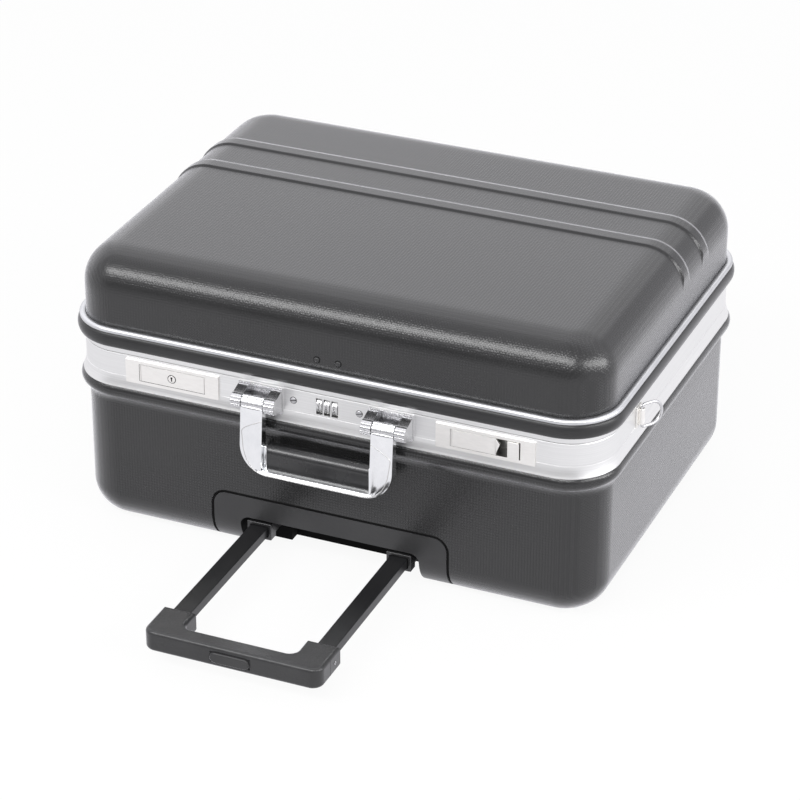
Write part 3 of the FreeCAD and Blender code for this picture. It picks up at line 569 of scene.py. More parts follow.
def endTree(tree, shape, start, end):
    whole = addNode(tree, "GeometryNodeRealizeInstances", {"Geometry": shape})
    painted = addNode(tree, "GeometryNodeSetMaterial", {"Geometry": whole.outputs["Geometry"],
                                                        "Material": start["Finish"]})
    tree.links.new(painted.outputs["Geometry"], end[0])
    return tree


def makeSetTree():
    takes = [("Spots", "Geometry"), ("Item", "Object"), ("Facing", "Vector", (0.0, 0.0, 0.0)),
             ("Finish", "Material")]
    tree, start, end = newGroup("setOnSpots", "GeometryNodeTree", takes, [("Pieces", "Geometry")])
    item = addNode(tree, "GeometryNodeObjectInfo", {"Object": start["Item"]})
    facing = addNode(tree, "FunctionNodeEulerToRotation", {"Euler": start["Facing"]})
    placed = addNode(tree, "GeometryNodeInstanceOnPoints",
                     {"Points": start["Spots"], "Instance": item.outputs["Geometry"],
                      "Rotation": facing.outputs["Rotation"]})
    return endTree(tree, placed.outputs["Instances"], start, end)


def makeTurnedTree():
    takes = [("Item", "Geometry"), ("Count", "Int", 3), ("First", "Float", 0.0), ("Step", "Float", 0.3),
             ("Axis Place", "Vector", (0.0, 0.0, 0.0)), ("Finish", "Material")]
    tree, start, end = newGroup("turnedCopies", "GeometryNodeTree", takes, [("Copies", "Geometry")])
    spots = addNode(tree, "GeometryNodePoints", {"Count": start["Count"]})
    placed = addNode(tree, "GeometryNodeInstanceOnPoints", {"Points": spots.outputs[0],
                                                            "Instance": start["Item"]})
    order = addNode(tree, "GeometryNodeInputIndex").outputs["Index"]
    turn = mathOf(tree, "MULTIPLY_ADD", order, start["Step"], start["First"])
    angles = addNode(tree, "ShaderNodeCombineXYZ", {"X": turn})
    euler = addNode(tree, "FunctionNodeEulerToRotation", {"Euler": angles.outputs["Vector"]})
    turned = addNode(tree, "GeometryNodeRotateInstances",
                     {"Instances": placed.outputs["Instances"], "Rotation": euler.outputs["Rotation"],
                      "Pivot Point": start["Axis Place"], "Local Space": False})
    return endTree(tree, turned.outputs["Instances"], start, end)


def makeCordTree():
    takes = [("Path", "Geometry"), ("Radius", "Float", 0.001), ("Finish", "Material")]
    tree, start, end = newGroup("cordAlongPath", "GeometryNodeTree", takes, [("Cord", "Geometry")])
    line = addNode(tree, "GeometryNodeMeshToCurve", {"Mesh": start["Path"]})
    section = addNode(tree, "GeometryNodeCurvePrimitiveCircle", {"Resolution": 10, "Radius": start["Radius"]})
    swept = addNode(tree, "GeometryNodeCurveToMesh",
                    {"Curve": line.outputs["Curve"], "Profile Curve": section.outputs["Curve"],
                     "Fill Caps": True})
    return endTree(tree, swept.outputs["Mesh"], start, end)


def makeRimTree():
    takes = [("Section", "Geometry"), ("Width", "Float", 0.48), ("Depth", "Float", 0.36),
             ("Corner", "Float", 0.04), ("Corner Steps", "Int", 16), ("Finish", "Material")]
    tree, start, end = newGroup("rimSweep", "GeometryNodeTree", takes, [("Rim", "Geometry")])
    line = addNode(tree, "GeometryNodeCurvePrimitiveQuadrilateral",
                   {"Width": start["Width"], "Height": start["Depth"]})
    rounded = addNode(tree, "GeometryNodeFilletCurve",
                      {"Curve": line.outputs["Curve"], "Count": start["Corner Steps"],
                       "Radius": start["Corner"]}, mode="POLY")
    section = addNode(tree, "GeometryNodeMeshToCurve", {"Mesh": start["Section"]})
    swept = addNode(tree, "GeometryNodeCurveToMesh", {"Curve": rounded.outputs["Curve"],
                                                      "Profile Curve": section.outputs["Curve"]})
    return endTree(tree, swept.outputs["Mesh"], start, end)


setTree = makeSetTree()
turnedTree = makeTurnedTree()
cordTree = makeCordTree()
rimTree = makeRimTree()

facings = {
    "front": (math.pi / 2, 0.0, 0.0),
    "back": (-math.pi / 2, 0.0, 0.0),
    "right": (0.0, math.pi / 2, 0.0),
    "left": (0.0, -math.pi / 2, 0.0),
}


def linePiece(name, points, closed):
    count = len(points)
    edges = [(index, (index + 1) % count) for index in range(count if closed else count - 1)]
    return newPiece(name, points, edges=edges)


def setItems(name, shape, spots, facing, body, slot, look=None):
    item = newPiece("item", *shape)
    piece = newPiece(name, spots)
    runTree(piece, setTree, {"Item": item, "Facing": facings[facing], "Finish": finishes[look or slot]})
    bpy.data.objects.remove(item)
    smoothFaces(piece.data, edgeAngles["items"])
    addTo(piece, body, slot, look)
    return piece


def turnItems(name, shapes, count, first, step, axisPlace, body, slot):
    piece = newPiece(name, *joinShapes(*shapes))
    runTree(piece, turnedTree, {"Count": count, "First": math.radians(first), "Step": math.radians(step),
                                "Axis Place": axisPlace, "Finish": finishes[slot]})
    smoothFaces(piece.data, edgeAngles["turned"])
    addTo(piece, body, slot)


def cordPiece(name, path, radius, body, slot, look):
    piece = linePiece(name, path, False)
    runTree(piece, cordTree, {"Radius": radius, "Finish": finishes[look]})
    smoothFaces(piece.data, edgeAngles["cords"])
    addTo(piece, body, slot, look)


# Lid: moulded skin with a rounded top and two stepped ribs across it, worked out from its own sizes

lid = {
    "halfWidth": 0.24045,
    "halfDepth": 0.1799,
    "corner": 0.0407,
    "low": 0.1805,
    "top": 0.2575,
    "round": 0.035,
    "wall": 0.003,
    "ribFeet": (0.022, 0.073),
    "ribWidth": 0.0190,
    "ribTop": 0.0120,
    "ribHeight": 0.0018,
    "ribFront": 0.0022,
    "ribSoft": 0.0004,
    "softSamples": 7,
    "stepsAcross": 40,
    "stepsAlong": 12,
    "arcSteps": 14,
    "rollSteps": 16,
    # rows of points past each rib's foot, in millimetres, and on the flat between
    "ribMarks": (-0.8, -0.4, -0.2, 0.0, 0.2, 0.4, 0.9, 1.3, 1.8, 2.0, 2.2, 2.4, 2.6, 3.4, 7.5, 11.5, 12.0,
                 12.7, 13.4, 14.1, 14.8, 15.5, 16.2, 16.9, 17.6, 18.3, 19.0, 19.7),
    "flatMarks": (0.010, 0.055, 0.062, 0.110, 0.125),
    # rows of points on the upright wall, above its foot and under the rounded edge
    "aboveFoot": 0.02,
    "underRound": 0.004,
}


def ribLift(y):
    total = 0.0
    samples = lid["softSamples"]
    for index in range(samples):
        place = y + lid["ribSoft"] * (2 * index / (samples - 1) - 1)
        for foot in lid["ribFeet"]:
            run = place - foot
            if 0 < run < lid["ribFront"]:
                total += lid["ribHeight"] * run / lid["ribFront"]
            elif lid["ribFront"] <= run < lid["ribWidth"]:
                ease = max(0.0, run - lid["ribTop"]) / (lid["ribWidth"] - lid["ribTop"])
                total += lid["ribHeight"] * (1 + math.cos(math.pi * ease)) / 2
    return total / samples


def lidStations():
    wide = lid["halfWidth"] - lid["corner"]
    deep = lid["halfDepth"] - lid["corner"]
    across = [wide * (2 * step / lid["stepsAcross"] - 1) for step in range(lid["stepsAcross"] + 1)]
    along = [deep * (step / lid["stepsAlong"] - 1) for step in range(lid["stepsAlong"] + 1)]
    along += [foot + 0.001 * mark for foot in lid["ribFeet"] for mark in lid["ribMarks"]]
    return across, sorted([*along, *lid["flatMarks"], deep])


def lidRing(across, along, outset, height, tilt):
    # one closed line of points round the lid, with the direction in which the skin faces there
    wide = lid["halfWidth"] - lid["corner"]
    deep = lid["halfDepth"] - lid["corner"]
    radius = lid["corner"] + outset
    level = math.cos(tilt)
    side = math.sin(tilt)
    # each straight side, the way it faces, and the middle and first angle of the corner after it
    sides = (
        ([(x, -deep - radius) for x in across[:-1]], (0, -1), (wide, -deep), -90),
        ([(wide + radius, y) for y in along[:-1]], (1, 0), (wide, deep), 0),
        ([(x, deep + radius) for x in reversed(across[1:])], (0, 1), (-wide, deep), 90),
        ([(-wide - radius, y) for y in reversed(along[1:])], (-1, 0), (-wide, -deep), 180),
    )
    ring = []
    for spots, (outX, outY), middle, first in sides:
        ring += [((x, y, height), (side * outX, side * outY, level)) for x, y in spots]
        corner = arcSpots(*middle, radius, first, 90, lid["arcSteps"])
        facing = arcSpots(0, 0, side, first, 90, lid["arcSteps"])
        ring += [((*spot, height), (*way, level)) for spot, way in zip(corner[:-1], facing)]
    return ring


def lifted(point, facing):
    x, y, z = point
    lift = ribLift(y) if abs(facing[1]) < 0.001 else 0.0
    x = max(-lid["halfWidth"], min(lid["halfWidth"], x + facing[0] * lift))
    return (x, y, z + facing[2] * lift)


def makeLidSkin():
    across, along = lidStations()
    spring = lid["top"] - lid["round"]
    rings = []
    for height in (lid["low"], lid["low"] + lid["aboveFoot"], spring - lid["underRound"]):
        rings.append(lidRing(across, along, 0.0, height, math.pi / 2))
    for step in range(lid["rollSteps"] + 1):
        tilt = math.pi / 2 * (1 - step / lid["rollSteps"])
        outset = lid["round"] * (math.sin(tilt) - 1)
        rings.append(lidRing(across, along, outset, spring + lid["round"] * math.cos(tilt), tilt))
    rings.append(lidRing(across, along, -lid["corner"], lid["top"], 0.0))
    points = [lifted(point, facing) for ring in rings for point, facing in ring]
    faces = gridFaces(len(rings), len(rings[0]))
    faces += gridFaces(len(along), len(across), first=len(points), wrapColumns=False)
    points += [lifted((x, y, lid["top"]), (0, 0, 1)) for y in along for x in across]
    piece = newPiece("lidSkin", points, faces)
    work = bmesh.new()
    work.from_mesh(piece.data)
    bmesh.ops.remove_doubles(work, verts=work.verts, dist=merging["skin"])
    bmesh.ops.dissolve_degenerate(work, edges=work.edges, dist=merging["skin"])
    bmesh.ops.recalc_face_normals(work, faces=work.faces)
    work.to_mesh(piece.data)
    work.free()
    for face in piece.data.polygons:
        face.use_smooth = True
    skin = piece.modifiers.new("lidWall", "SOLIDIFY")
    skin.thickness = lid["wall"]
    skin.offset = -1.0
    standFor(piece, "lid_shell")


makeLidSkin()
print("lid made")


# Rims: the aluminium frames, bumper and bead are sections carried round the case

rims = {
    "width": 0.4795,
    "depth": 0.3584,
    "corner": 0.040,
    "cornerSteps": 18,
    "dials": (-0.0063, 0.0007, 0.0077),
    "latches": (-0.14265, 0.14265),
    # openings in the band: half width, foot and top
    "dialOpening": (0.0029, 0.1525, 0.1675),
    "latchOpening": (0.0322, 0.1483, 0.1671),
    "openingFront": -0.190,
    "openingBack": -0.170,
}

# sections in millimetres, outwards from the rim's line and upwards from the floor
rimPieces = {
    "baseBand": {
        "node": "base_frame",
        "angle": 24.0,
        "even": True,
        "section": [(0.0, 140.2), (4.6, 140.2), (5.0, 140.5), (5.0, 141.2), (4.5, 142.3), (3.9, 143.8),
                    (3.3, 145.6), (2.8, 147.4), (2.4, 149.3), (2.2, 150.6), (1.95, 150.8), (1.95, 151.3),
                    (2.15, 151.5), (2.0, 154.0), (2.0, 170.9), (1.7, 171.5), (-4.0, 171.5), (-4.0, 176.5),
                    (-5.6, 176.5), (-5.6, 171.5), (-6.0, 171.5), (-6.0, 169.0), (0.0, 169.0)],
    },
    "lidStrip": {
        "node": "lid_frame",
        "angle": 24.0,
        "even": True,
        "section": [(0.2, 171.8), (1.6, 171.8), (2.0, 172.2), (2.0, 180.5), (-10.0, 180.5), (-10.0, 171.8),
                    (-8.5, 171.8), (-8.5, 178.5), (0.2, 178.5)],
    },
    "lidBumper": {
        "node": "lid_bumper",
        "angle": 40.0,
        "even": False,
        "section": [(2.0, 178.5), (6.0, 178.5), *arcThrough((6.7, 178.9), (8.2, 183.8), (6.6, 190.3), 10),
                    (6.0, 190.9), (0.7, 190.9), (0.7, 180.5), (2.0, 180.5)],
    },
    "lidBead": {
        "node": "lid_bead",
        "angle": 50.0,
        "even": False,
        "section": [(0.7, 190.9), (5.6, 190.9), *arcThrough((6.0, 191.1), (6.3, 193.5), (4.0, 195.4), 10),
                    (1.6, 195.3), (0.7, 194.8)],
    },
}


def bandOpenings():
    boxes = []
    for places, size in (("dials", "dialOpening"), ("latches", "latchOpening")):
        half, low, high = rims[size]
        for x in rims[places]:
            boxes.append(((x - half, rims["openingFront"], low), (x + half, rims["openingBack"], high)))
    return boxes


def makeRims():
    for name, rim in rimPieces.items():
        piece = linePiece(name, [(out, -high, 0.0) for out, high in inMetres(rim["section"])], True)
        finish = finishes[slotOf[rim["node"]]]
        runTree(piece, rimTree, {"Width": rims["width"], "Depth": rims["depth"], "Corner": rims["corner"],
                                 "Corner Steps": rims["cornerSteps"], "Finish": finish})
        if name == "baseBand":
            cutBoxes(piece, bandOpenings())
        roundOff(piece, rim["angle"], even=rim["even"])
        standFor(piece, rim["node"])


makeRims()
print("rims made")


# Pieces that keep their solid's shape, with the width of their softened edges

softPieces = {
    "base_shell": 0.0,
    "key_cylinder": 0.0002,
    "dial_wheel_1": 0.0003,
    "dial_wheel_2": 0.0003,
    "dial_wheel_3": 0.0003,
    "latch_flap_left": 0.0003,
    "latch_flap_right": 0.0003,
    "strap_ring_holder_left": 0.0006,
    "strap_ring_holder_right": 0.0006,
    "strap_ring_left": 0.0,
    "strap_ring_right": 0.0,
    "trolley_collars": 0.0008,
    "trolley_middle_tubes": 0.0008,
    "trolley_inner_tubes": 0.0008,
    "trolley_outer_tubes": 0.0008,
    "trolley_grip": 0.0,
    "wheel_housing_left": 0.0012,
    "wheel_housing_right": 0.0012,
    "wheel_hub_left": 0.0006,
    "wheel_hub_right": 0.0006,
    "rear_feet": 0.0012,
    "hinge_base_leaves": 0.0004,
    "hinge_lid_leaves": 0.0004,
    "stay_base_arms": 0.0004,
    "stay_lid_arms": 0.0004,
    "tube_cover": 0.001,
}

otherFinish = {
    "trolley_collars": "grip_black",
    "strap_ring_left": "bracket_satin",
    "strap_ring_right": "bracket_satin",
}

for nodeName, edge in softPieces.items():
    softPiece = roundOff(mergedCopy(nodeName), edge=edge, even=True)
    standFor(softPiece, nodeName, otherFinish.get(nodeName))
print("softened pieces:", len(softPieces))


# Latches: a plate with a well behind the flap, near-black as painted shade on the left and grey on the right,
# and the flap's squared heel and pointed tip

latch = {
    "place": 0.14265,
    "level": 0.1577,
    "front": -0.1828,
    "halfWidth": 0.0305,
    "halfHeight": 0.0077,
    "plateEdge": 0.0004,
    "wellRoom": 0.0005,
    "wellFront": -0.1824,
    "wellBack": -0.1685,
    # the left well's near-black is painted shade in the recess
    "wells": {"left": "gap_black", "right": "well_grey"},
    "pivot": 0.002,
    "heelClear": 0.00218,
    "heelInset": 0.0001,
    "heelSteps": 6,
    "flapLength": 0.040,
    "tipReach": 0.0034,
    "tipLevel": 0.1606,
    "tipSunk": 0.0006,
    "tipFoot": 0.0018,
    "tipTop": 0.0008,
    "tipBack": -0.1806,
    "tipEdge": 0.00025,
    "tipAngle": 30.0,
    "slotStart": 0.1615,
    "slotEnd": 0.1656,
    "slotLow": 0.1495,
    "slotHigh": 0.1659,
    "slotClear": 0.0002,
    "buttonEdge": 0.0003,
}


def makeLatchPlate(side, x):
    roomX = latch["halfWidth"] + latch["wellRoom"]
    roomZ = latch["halfHeight"] + latch["wellRoom"]

    def inWell(middle):
        inside = abs(middle.x - x) < roomX and abs(middle.z - latch["level"]) < roomZ
        return inside and latch["wellFront"] < middle.y < latch["wellBack"]

    insetCopy("latch_plate_" + side, latch["plateEdge"], latch["wells"][side], inWell)


def makeLatchHeel(side, x):
    # square corner beside the flap's round end, fixed to the base and clear of the swing
    left = x - latch["halfWidth"]
    pivotX = left + latch["pivot"]
    pivotY = latch["front"] + latch["pivot"]
    reach = latch["heelClear"]
    first = math.asin(latch["pivot"] / reach)
    last = math.acos((latch["pivot"] - latch["heelInset"]) / reach)
    outline = [(left + latch["heelInset"], latch["front"])]
    for step in range(latch["heelSteps"] + 1):
        turn = first + (last - first) * step / latch["heelSteps"]
        outline.append((pivotX - reach * math.cos(turn), pivotY - reach * math.sin(turn)))
    low = latch["level"] - latch["halfHeight"]
    high = latch["level"] + latch["halfHeight"]
    piece = newPiece("latchHeel" + side.capitalize(), *prismMesh(outline, low, high, "z"))
    faceOutwards(piece.data)
    addTo(piece, "base", "nickel_plate")


def makeFlapTip():
    end = latch["place"] - latch["halfWidth"] + latch["flapLength"]
    start = end - latch["tipSunk"]
    low = latch["level"] - latch["halfHeight"]
    high = latch["level"] + latch["halfHeight"]
    outline = [(start, high), (start, low), (end, low + latch["tipFoot"]),
               (end + latch["tipReach"], latch["tipLevel"]), (end, high - latch["tipTop"])]
    piece = makePiece("latchFlapTip", prismMesh(outline, latch["front"], latch["tipBack"], "y"),
                      angle=latch["tipAngle"], edge=latch["tipEdge"])
    addTo(piece, "latch_flap_right", "nickel_plate")


def makeSlideButton():
    # a slot in the button's left side lets its front pass over the flap's tip
    piece = mergedCopy("slide_button")
    cutBoxes(piece, [((latch["slotStart"], latch["front"] - latch["slotClear"], latch["slotLow"]),
                      (latch["slotEnd"], latch["tipBack"] + latch["slotClear"], latch["slotHigh"]))])
    roundOff(piece, edge=latch["buttonEdge"], even=True)
    standFor(piece, "slide_button")


# dark marks on the lock: a ring round the key plug and the keyhole, both painted shade, and screws with
# painted shade under them
lockMarks = {
    "keyRing": (0.0033, 0.00395, 0.00012),
    "keySlot": ((-0.0005, -0.0019, 0.0), (0.0005, 0.0012, 0.0001)),
    "keyRound": (0.0, 0.0010, 0.0001),
    "keyRoundUp": 0.0012,
    "keyOut": 0.0005,
    "screw": (0.0028, 0.0007, 0.00042, 14.0),
    "screwSpots": [(-0.030, -0.1812, 0.161), (0.030, -0.1812, 0.161)],
}


def makeLockMarks():
    # near-black ring round the key plug, painted shade of the groove there
    keyRing = ringMesh(*lockMarks["keyRing"], 32)
    setItems("keyRing", keyRing, [(-latch["place"], latch["front"], latch["level"])], "front",
             "latch_flap_left", "grip_black")
    # the keyhole is a dark plate on the plug's face, painted shade of the hole
    points, faces = ringMesh(*lockMarks["keyRound"], 16)
    holeShade = ([(x, y + lockMarks["keyRoundUp"], z) for x, y, z in points], faces)
    spot = (-latch["place"], latch["front"] - lockMarks["keyOut"], latch["level"])
    setItems("keyHole", joinShapes(boxMesh(*lockMarks["keySlot"]), holeShade), [spot], "front", "key_cylinder",
             "grip_black")
    head, shade = screwShapes(*lockMarks["screw"])
    screws = setItems("lockScrews", head, lockMarks["screwSpots"], "front", "base", "fitting_steel")
    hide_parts("lock_screws")
    setItems("lockScrewShade", shade, lockMarks["screwSpots"], "front", "base", "grip_black")


for side, x in (("left", -latch["place"]), ("right", latch["place"])):
    makeLatchPlate(side, x)
    makeLatchHeel(side, x)
makeFlapTip()
makeSlideButton()
makeLockMarks()
print("latches made")


# Plugs on the lid's front: two round domed heads, each in a dark ring that is painted shade of the gap round
# it

plugs = {
    "places": (-0.0086, 0.0106),
    "front": -0.1799,
    "level": 0.2030,
    "section": [(0.0, -2.9), (2.4, -2.9), (2.4, 0.15), (2.2, 0.60), (1.7, 1.10), (0.95, 1.42), (0.0, 1.55)],
    "gap": (0.0024, 0.0031, 0.00006),
    "steps": 32,
}


def makePlugs():
    head = latheMesh(inMetres(plugs["section"]), plugs["steps"])
    spots = [(x, plugs["front"], plugs["level"]) for x in plugs["places"]]
    piece = setItems("lidFrontPlugs", head, spots, "front", "lid", slotOf["lid_front_plugs"])
    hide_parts("lid_front_plugs")
    # near-black ring round each plug, painted shade
    gap = ringMesh(*plugs["gap"], plugs["steps"])
    setItems("plugGaps", gap, spots, "front", "lid", "seal_rubber", "gap_black")


makePlugs()
print("plugs made")


# Dial digits, wrapped round each wheel

dial = {
    "radius": 0.0072,
    "axisY": -0.176,
    "axisZ": 0.160,
    "height": 0.0036,
    "capShare": 0.7,
    "lift": 0.00004,
    "turn": 36.0,
    "shown": (3, 8, 5),
}


def digitMesh(digit):
    words = bpy.data.curves.new("digit", "FONT")
    words.body = str(digit)
    words.size = dial["height"] / dial["capShare"]
    words.align_x = "CENTER"
    words.extrude = dial["lift"]
    holder = newObject("digit", words)
    mesh = bakedMesh(holder)
    bpy.data.objects.remove(holder)
    work = bmesh.new()
    work.from_mesh(mesh)
    bpy.data.meshes.remove(mesh)
    bmesh.ops.remove_doubles(work, verts=work.verts, dist=merging["copies"])
    return plainShape(work)


def makeDigits():
    glyphs = [digitMesh(digit) for digit in range(10)]
    for number, x in enumerate(rims["dials"]):
        shapes = []
        for digit, (points, faces) in enumerate(glyphs):
            middle = math.radians(dial["turn"] * (digit - dial["shown"][number]))
            wrapped = []
            for spot in points:
                radius = dial["radius"] + spot.z
                turn = middle + (spot.y - dial["height"] / 2) / dial["radius"]
                wrapped.append((x + spot.x, dial["axisY"] - radius * math.cos(turn),
                                dial["axisZ"] + radius * math.sin(turn)))
            shapes.append((wrapped, faces))
        piece = newPiece("dialDigits%d" % (number + 1), *joinShapes(*shapes))
        addTo(piece, "dial_wheel_%d" % (number + 1), "grip_black")


makeDigits()
print("dial digits made")


# Carry handle: a crowned chrome bow, deeper towards the grip, with ribbed barrels and grip collars

bow = {
    "outer": 0.06925,
    "inner": 0.04925,
    "pivotZ": 0.159,
    "pivotY": -0.1952,
    "frontY": -0.2016,
    "backY": -0.1956,
    "low": 0.0976,
    "rim": 0.0042,
    "corner": 0.026,
    "topDrop": 0.002,
    "armSteps": 24,
    "cornerSteps": 16,
    "footSteps": 9,
    # share of the corner in which the inner edge still runs down
    "innerDown": 0.6,
    "crown": 0.0011,
    "crownPower": 2.4,
    "step": 0.0007,
    "stepMiddle": 0.62,
    "stepWidth": 0.11,
    "stepFrom": 0.012,
    "stepRun": 0.010,
    "lean": 0.085,
    "shares": (0.0, 0.08, 0.18, 0.3, 0.42, 0.52, 0.58, 0.63, 0.68, 0.74, 0.84, 0.93, 1.0),
    "angle": 50.0,
    "barrel": 0.0064,
    "barrelWidth": 0.020,
    "barrelSteps": 40,
    "barrelEdge": 0.0004,
    "grooveFrom": 7,
    "grooveBend": 16,
    "grooveEnd": 40,
    "grooveSweep": 0.92,
    "grooveBack": 0.22,
    "grooveRadius": 0.00034,
}


def bowStations():
    # pairs of outer and inner points from the left arm's top, round the foot, to the right arm's top
    outer = bow["outer"]
    inner = bow["inner"]
    low = bow["low"]
    corner = bow["corner"]
    rim = low + bow["rim"]
    top = bow["pivotZ"] - bow["topDrop"]
    down = bow["innerDown"]
    pairs = []
    for step in range(bow["armSteps"] + 1):
        z = top + (low + corner - top) * step / bow["armSteps"]
        pairs.append(((-outer, z), (-inner, z)))
    bend = arcSpots(corner - outer, low + corner, corner, 180, 90, bow["cornerSteps"])
    for step, spot in enumerate(bend[1:], 1):
        share = step / bow["cornerSteps"]
        if share <= down:
            near = (-inner, low + corner + (rim - low - corner) * share / down)
        else:
            near = (-inner + (inner - outer + corner) * (share - down) / (1 - down), rim)
        pairs.append((spot, near))
    for step in range(1, bow["footSteps"] + 1):
        x = -outer + corner + (outer - corner) * step / bow["footSteps"]
        pairs.append(((x, low), (x, rim)))
    for spot, near in reversed(pairs[:-1]):
        pairs.append(((-spot[0], spot[1]), (-near[0], near[1])))
    return pairs


def bowFace(pair, share):
    spot, near = pair
    foot = min(1.0, max(0.0, (bow["low"] + bow["stepFrom"] - spot[1]) / bow["stepRun"]))
    x = spot[0] + (near[0] - spot[0]) * share
    z = spot[1] + (near[1] - spot[1]) * share
    swell = bow["crown"] * (1 - abs(2 * share - 1) ** bow["crownPower"])
    swell -= bow["step"] * foot * math.exp(-((share - bow["stepMiddle"]) / bow["stepWidth"]) ** 2)
    return (x, bow["frontY"] - swell - bow["lean"] * (bow["pivotZ"] - z), z)


def makeBow():
    pairs = bowStations()
    points = []
    for pair in pairs:
        points += [bowFace(pair, share) for share in bow["shares"]]
        points += [(end[0], bow["backY"], end[1]) for end in reversed(pair)]
    width = len(bow["shares"]) + 2
    faces = gridFaces(len(pairs), width)
    faces.append(tuple(range(width)))
    faces.append(tuple(reversed(range(len(points) - width, len(points)))))
    piece = makePiece("handleBow", (points, faces), angle=bow["angle"])
    standFor(piece, "handle_bail")


def makeBowBarrels():
    outline = ovalOutline(bow["pivotY"], bow["pivotZ"], bow["barrel"], bow["barrel"], bow["barrelSteps"])
    half = bow["barrelWidth"] / 2
    shapes = []
    for side in (-1, 1):
        middle = side * (bow["outer"] + bow["inner"]) / 2
        shapes.append(prismMesh(outline, middle - half, middle + half, "x"))
    piece = makePiece("bowBarrels", joinShapes(*shapes), edge=bow["barrelEdge"])
    addTo(piece, "carry_handle", "handle_chrome", "bracket_satin")


def makeBowGroove():
    # a fine grey cord, painted shade of a groove, that leaves each arm's inner edge, bends to the outside and
    # runs along the foot
    pairs = bowStations()
    first = bow["grooveFrom"]
    bend = bow["grooveBend"]
    path = []
    for index in range(first, len(pairs) // 2 + 1):
        run = min(1.0, (index - first) / (bend - first))
        foot = min(1.0, max(0.0, (index - bend) / (bow["grooveEnd"] - bend)))
        share = 1.0 - bow["grooveSweep"] * math.sin(run * math.pi / 2) + bow["grooveBack"] * foot
        path.append(bowFace(pairs[index], share))
    path += [(-x, y, z) for x, y, z in reversed(path[:-1])]
    cordPiece("bowGroove", path, bow["grooveRadius"], "carry_handle", "handle_chrome", "well_grey")


bracket = {
    "place": 0.05925,
    "halfWidth": 0.01990,
    "earWidth": 0.0094,
    "plateFront": -0.1842,
    "plateBack": -0.1812,
    "low": 0.1466,
    "high": 0.1704,
    "edge": 0.0006,
    "radius": 0.007,
    "earBack": -0.1832,
    "earTop": 0.0102,
    "earFoot": 0.0096,
    "earSweep": 98,
    "earStep": 4,
    "notches": (36.0, -4.0, -44.0),
    "notchDepth": 0.0009,
    "notchWidth": 6.5,
}


def earOutline():
    y = bow["pivotY"]
    z = bow["pivotZ"]
    outline = [(bracket["earBack"], z + bracket["earTop"])]
    for degrees in range(bracket["earSweep"], -bracket["earSweep"] - 1, -bracket["earStep"]):
        out = bracket["radius"]
        for notch in bracket["notches"]:
            out -= bracket["notchDepth"] * math.exp(-((degrees - notch) / bracket["notchWidth"]) ** 2)
        turn = math.radians(degrees)
        outline.append((y - out * math.cos(turn), z + out * math.sin(turn)))
    outline.append((bracket["earBack"], z - bracket["earFoot"]))
    return outline


def makeBrackets():
    outline = earOutline()
    wide = bracket["earWidth"]
    for side, x in (("left", -bracket["place"]), ("right", bracket["place"])):
        start = x - bracket["halfWidth"]
        end = x + bracket["halfWidth"]
        plate = boxMesh((start, bracket["plateFront"], bracket["low"]),
                        (end, bracket["plateBack"], bracket["high"]))
        ears = [prismMesh(outline, low, low + wide, "x") for low in (start, end - wide)]
        piece = makePiece("handleBracket" + side.capitalize(), joinShapes(plate, *ears),
                          edge=bracket["edge"], steps=3, even=True)
        standFor(piece, "handle_bracket_" + side, "bracket_satin")


ridge = {
    "half": 0.0096,
    "proud": 0.0008,
    "halfHeight": 0.0011,
    "steps": 10,
    "count": 3,
    "first": -30.0,
    "turn": -24.0,
}


def makeBarrelRidges():
    outline = ovalOutline(bow["pivotY"] - bow["barrel"], bow["pivotZ"], ridge["proud"], ridge["halfHeight"],
                          ridge["steps"])
    bars = [prismMesh(outline, x - ridge["half"], x + ridge["half"], "x")
            for x in (-bracket["place"], bracket["place"])]
    turnItems("barrelRidges", bars, ridge["count"], ridge["first"], ridge["turn"],
              (0.0, bow["pivotY"], bow["pivotZ"]), "carry_handle", "handle_chrome")


grip = {
    "half": 0.0492,
    "frontY": -0.20085,
    "backY": -0.18485,
    "low": 0.101,
    "high": 0.1226,
    "topRound": 0.0078,
    "footRound": 0.0015,
    "roundSteps": 12,
    "collarStart": 0.0464,
    "collarEnd": 0.0494,
    "collarFrontY": -0.2014,
    "collarBackY": -0.1843,
    "collarLow": 0.1006,
    "collarHigh": 0.1234,
    "collarEdge": 0.0024,
}


def makeGrip():
    foot = grip["footRound"]
    top = grip["topRound"]
    front = grip["frontY"]
    back = grip["backY"]
    corners = ((front + foot, grip["low"] + foot, foot, 180), (back - foot, grip["low"] + foot, foot, 270),
               (back - top, grip["high"] - top, top, 0), (front + top, grip["high"] - top, top, 90))
    outline = []
    for y, z, bend, first in corners:
        outline += arcSpots(y, z, bend, first, 90, grip["roundSteps"])
    piece = makePiece("handleGrip", prismMesh(outline, -grip["half"], grip["half"], "x"))
    standFor(piece, "handle_grip")


def makeGripCollars():
    boxes = []
    for start, end in ((-grip["collarEnd"], -grip["collarStart"]), (grip["collarStart"], grip["collarEnd"])):
        boxes.append(boxMesh((start, grip["collarFrontY"], grip["collarLow"]),
                             (end, grip["collarBackY"], grip["collarHigh"])))
    piece = makePiece("gripCollars", joinShapes(*boxes), edge=grip["collarEdge"], steps=4)
    addTo(piece, "carry_handle", "handle_chrome")


makeBow()
makeBowBarrels()
makeBowGroove()
makeBrackets()
makeBarrelRidges()
makeGrip()
makeGripCollars()
frame["nodes"]["handle_pins"].data.materials[0] = finishes["bracket_satin"]
print("carry handle made")
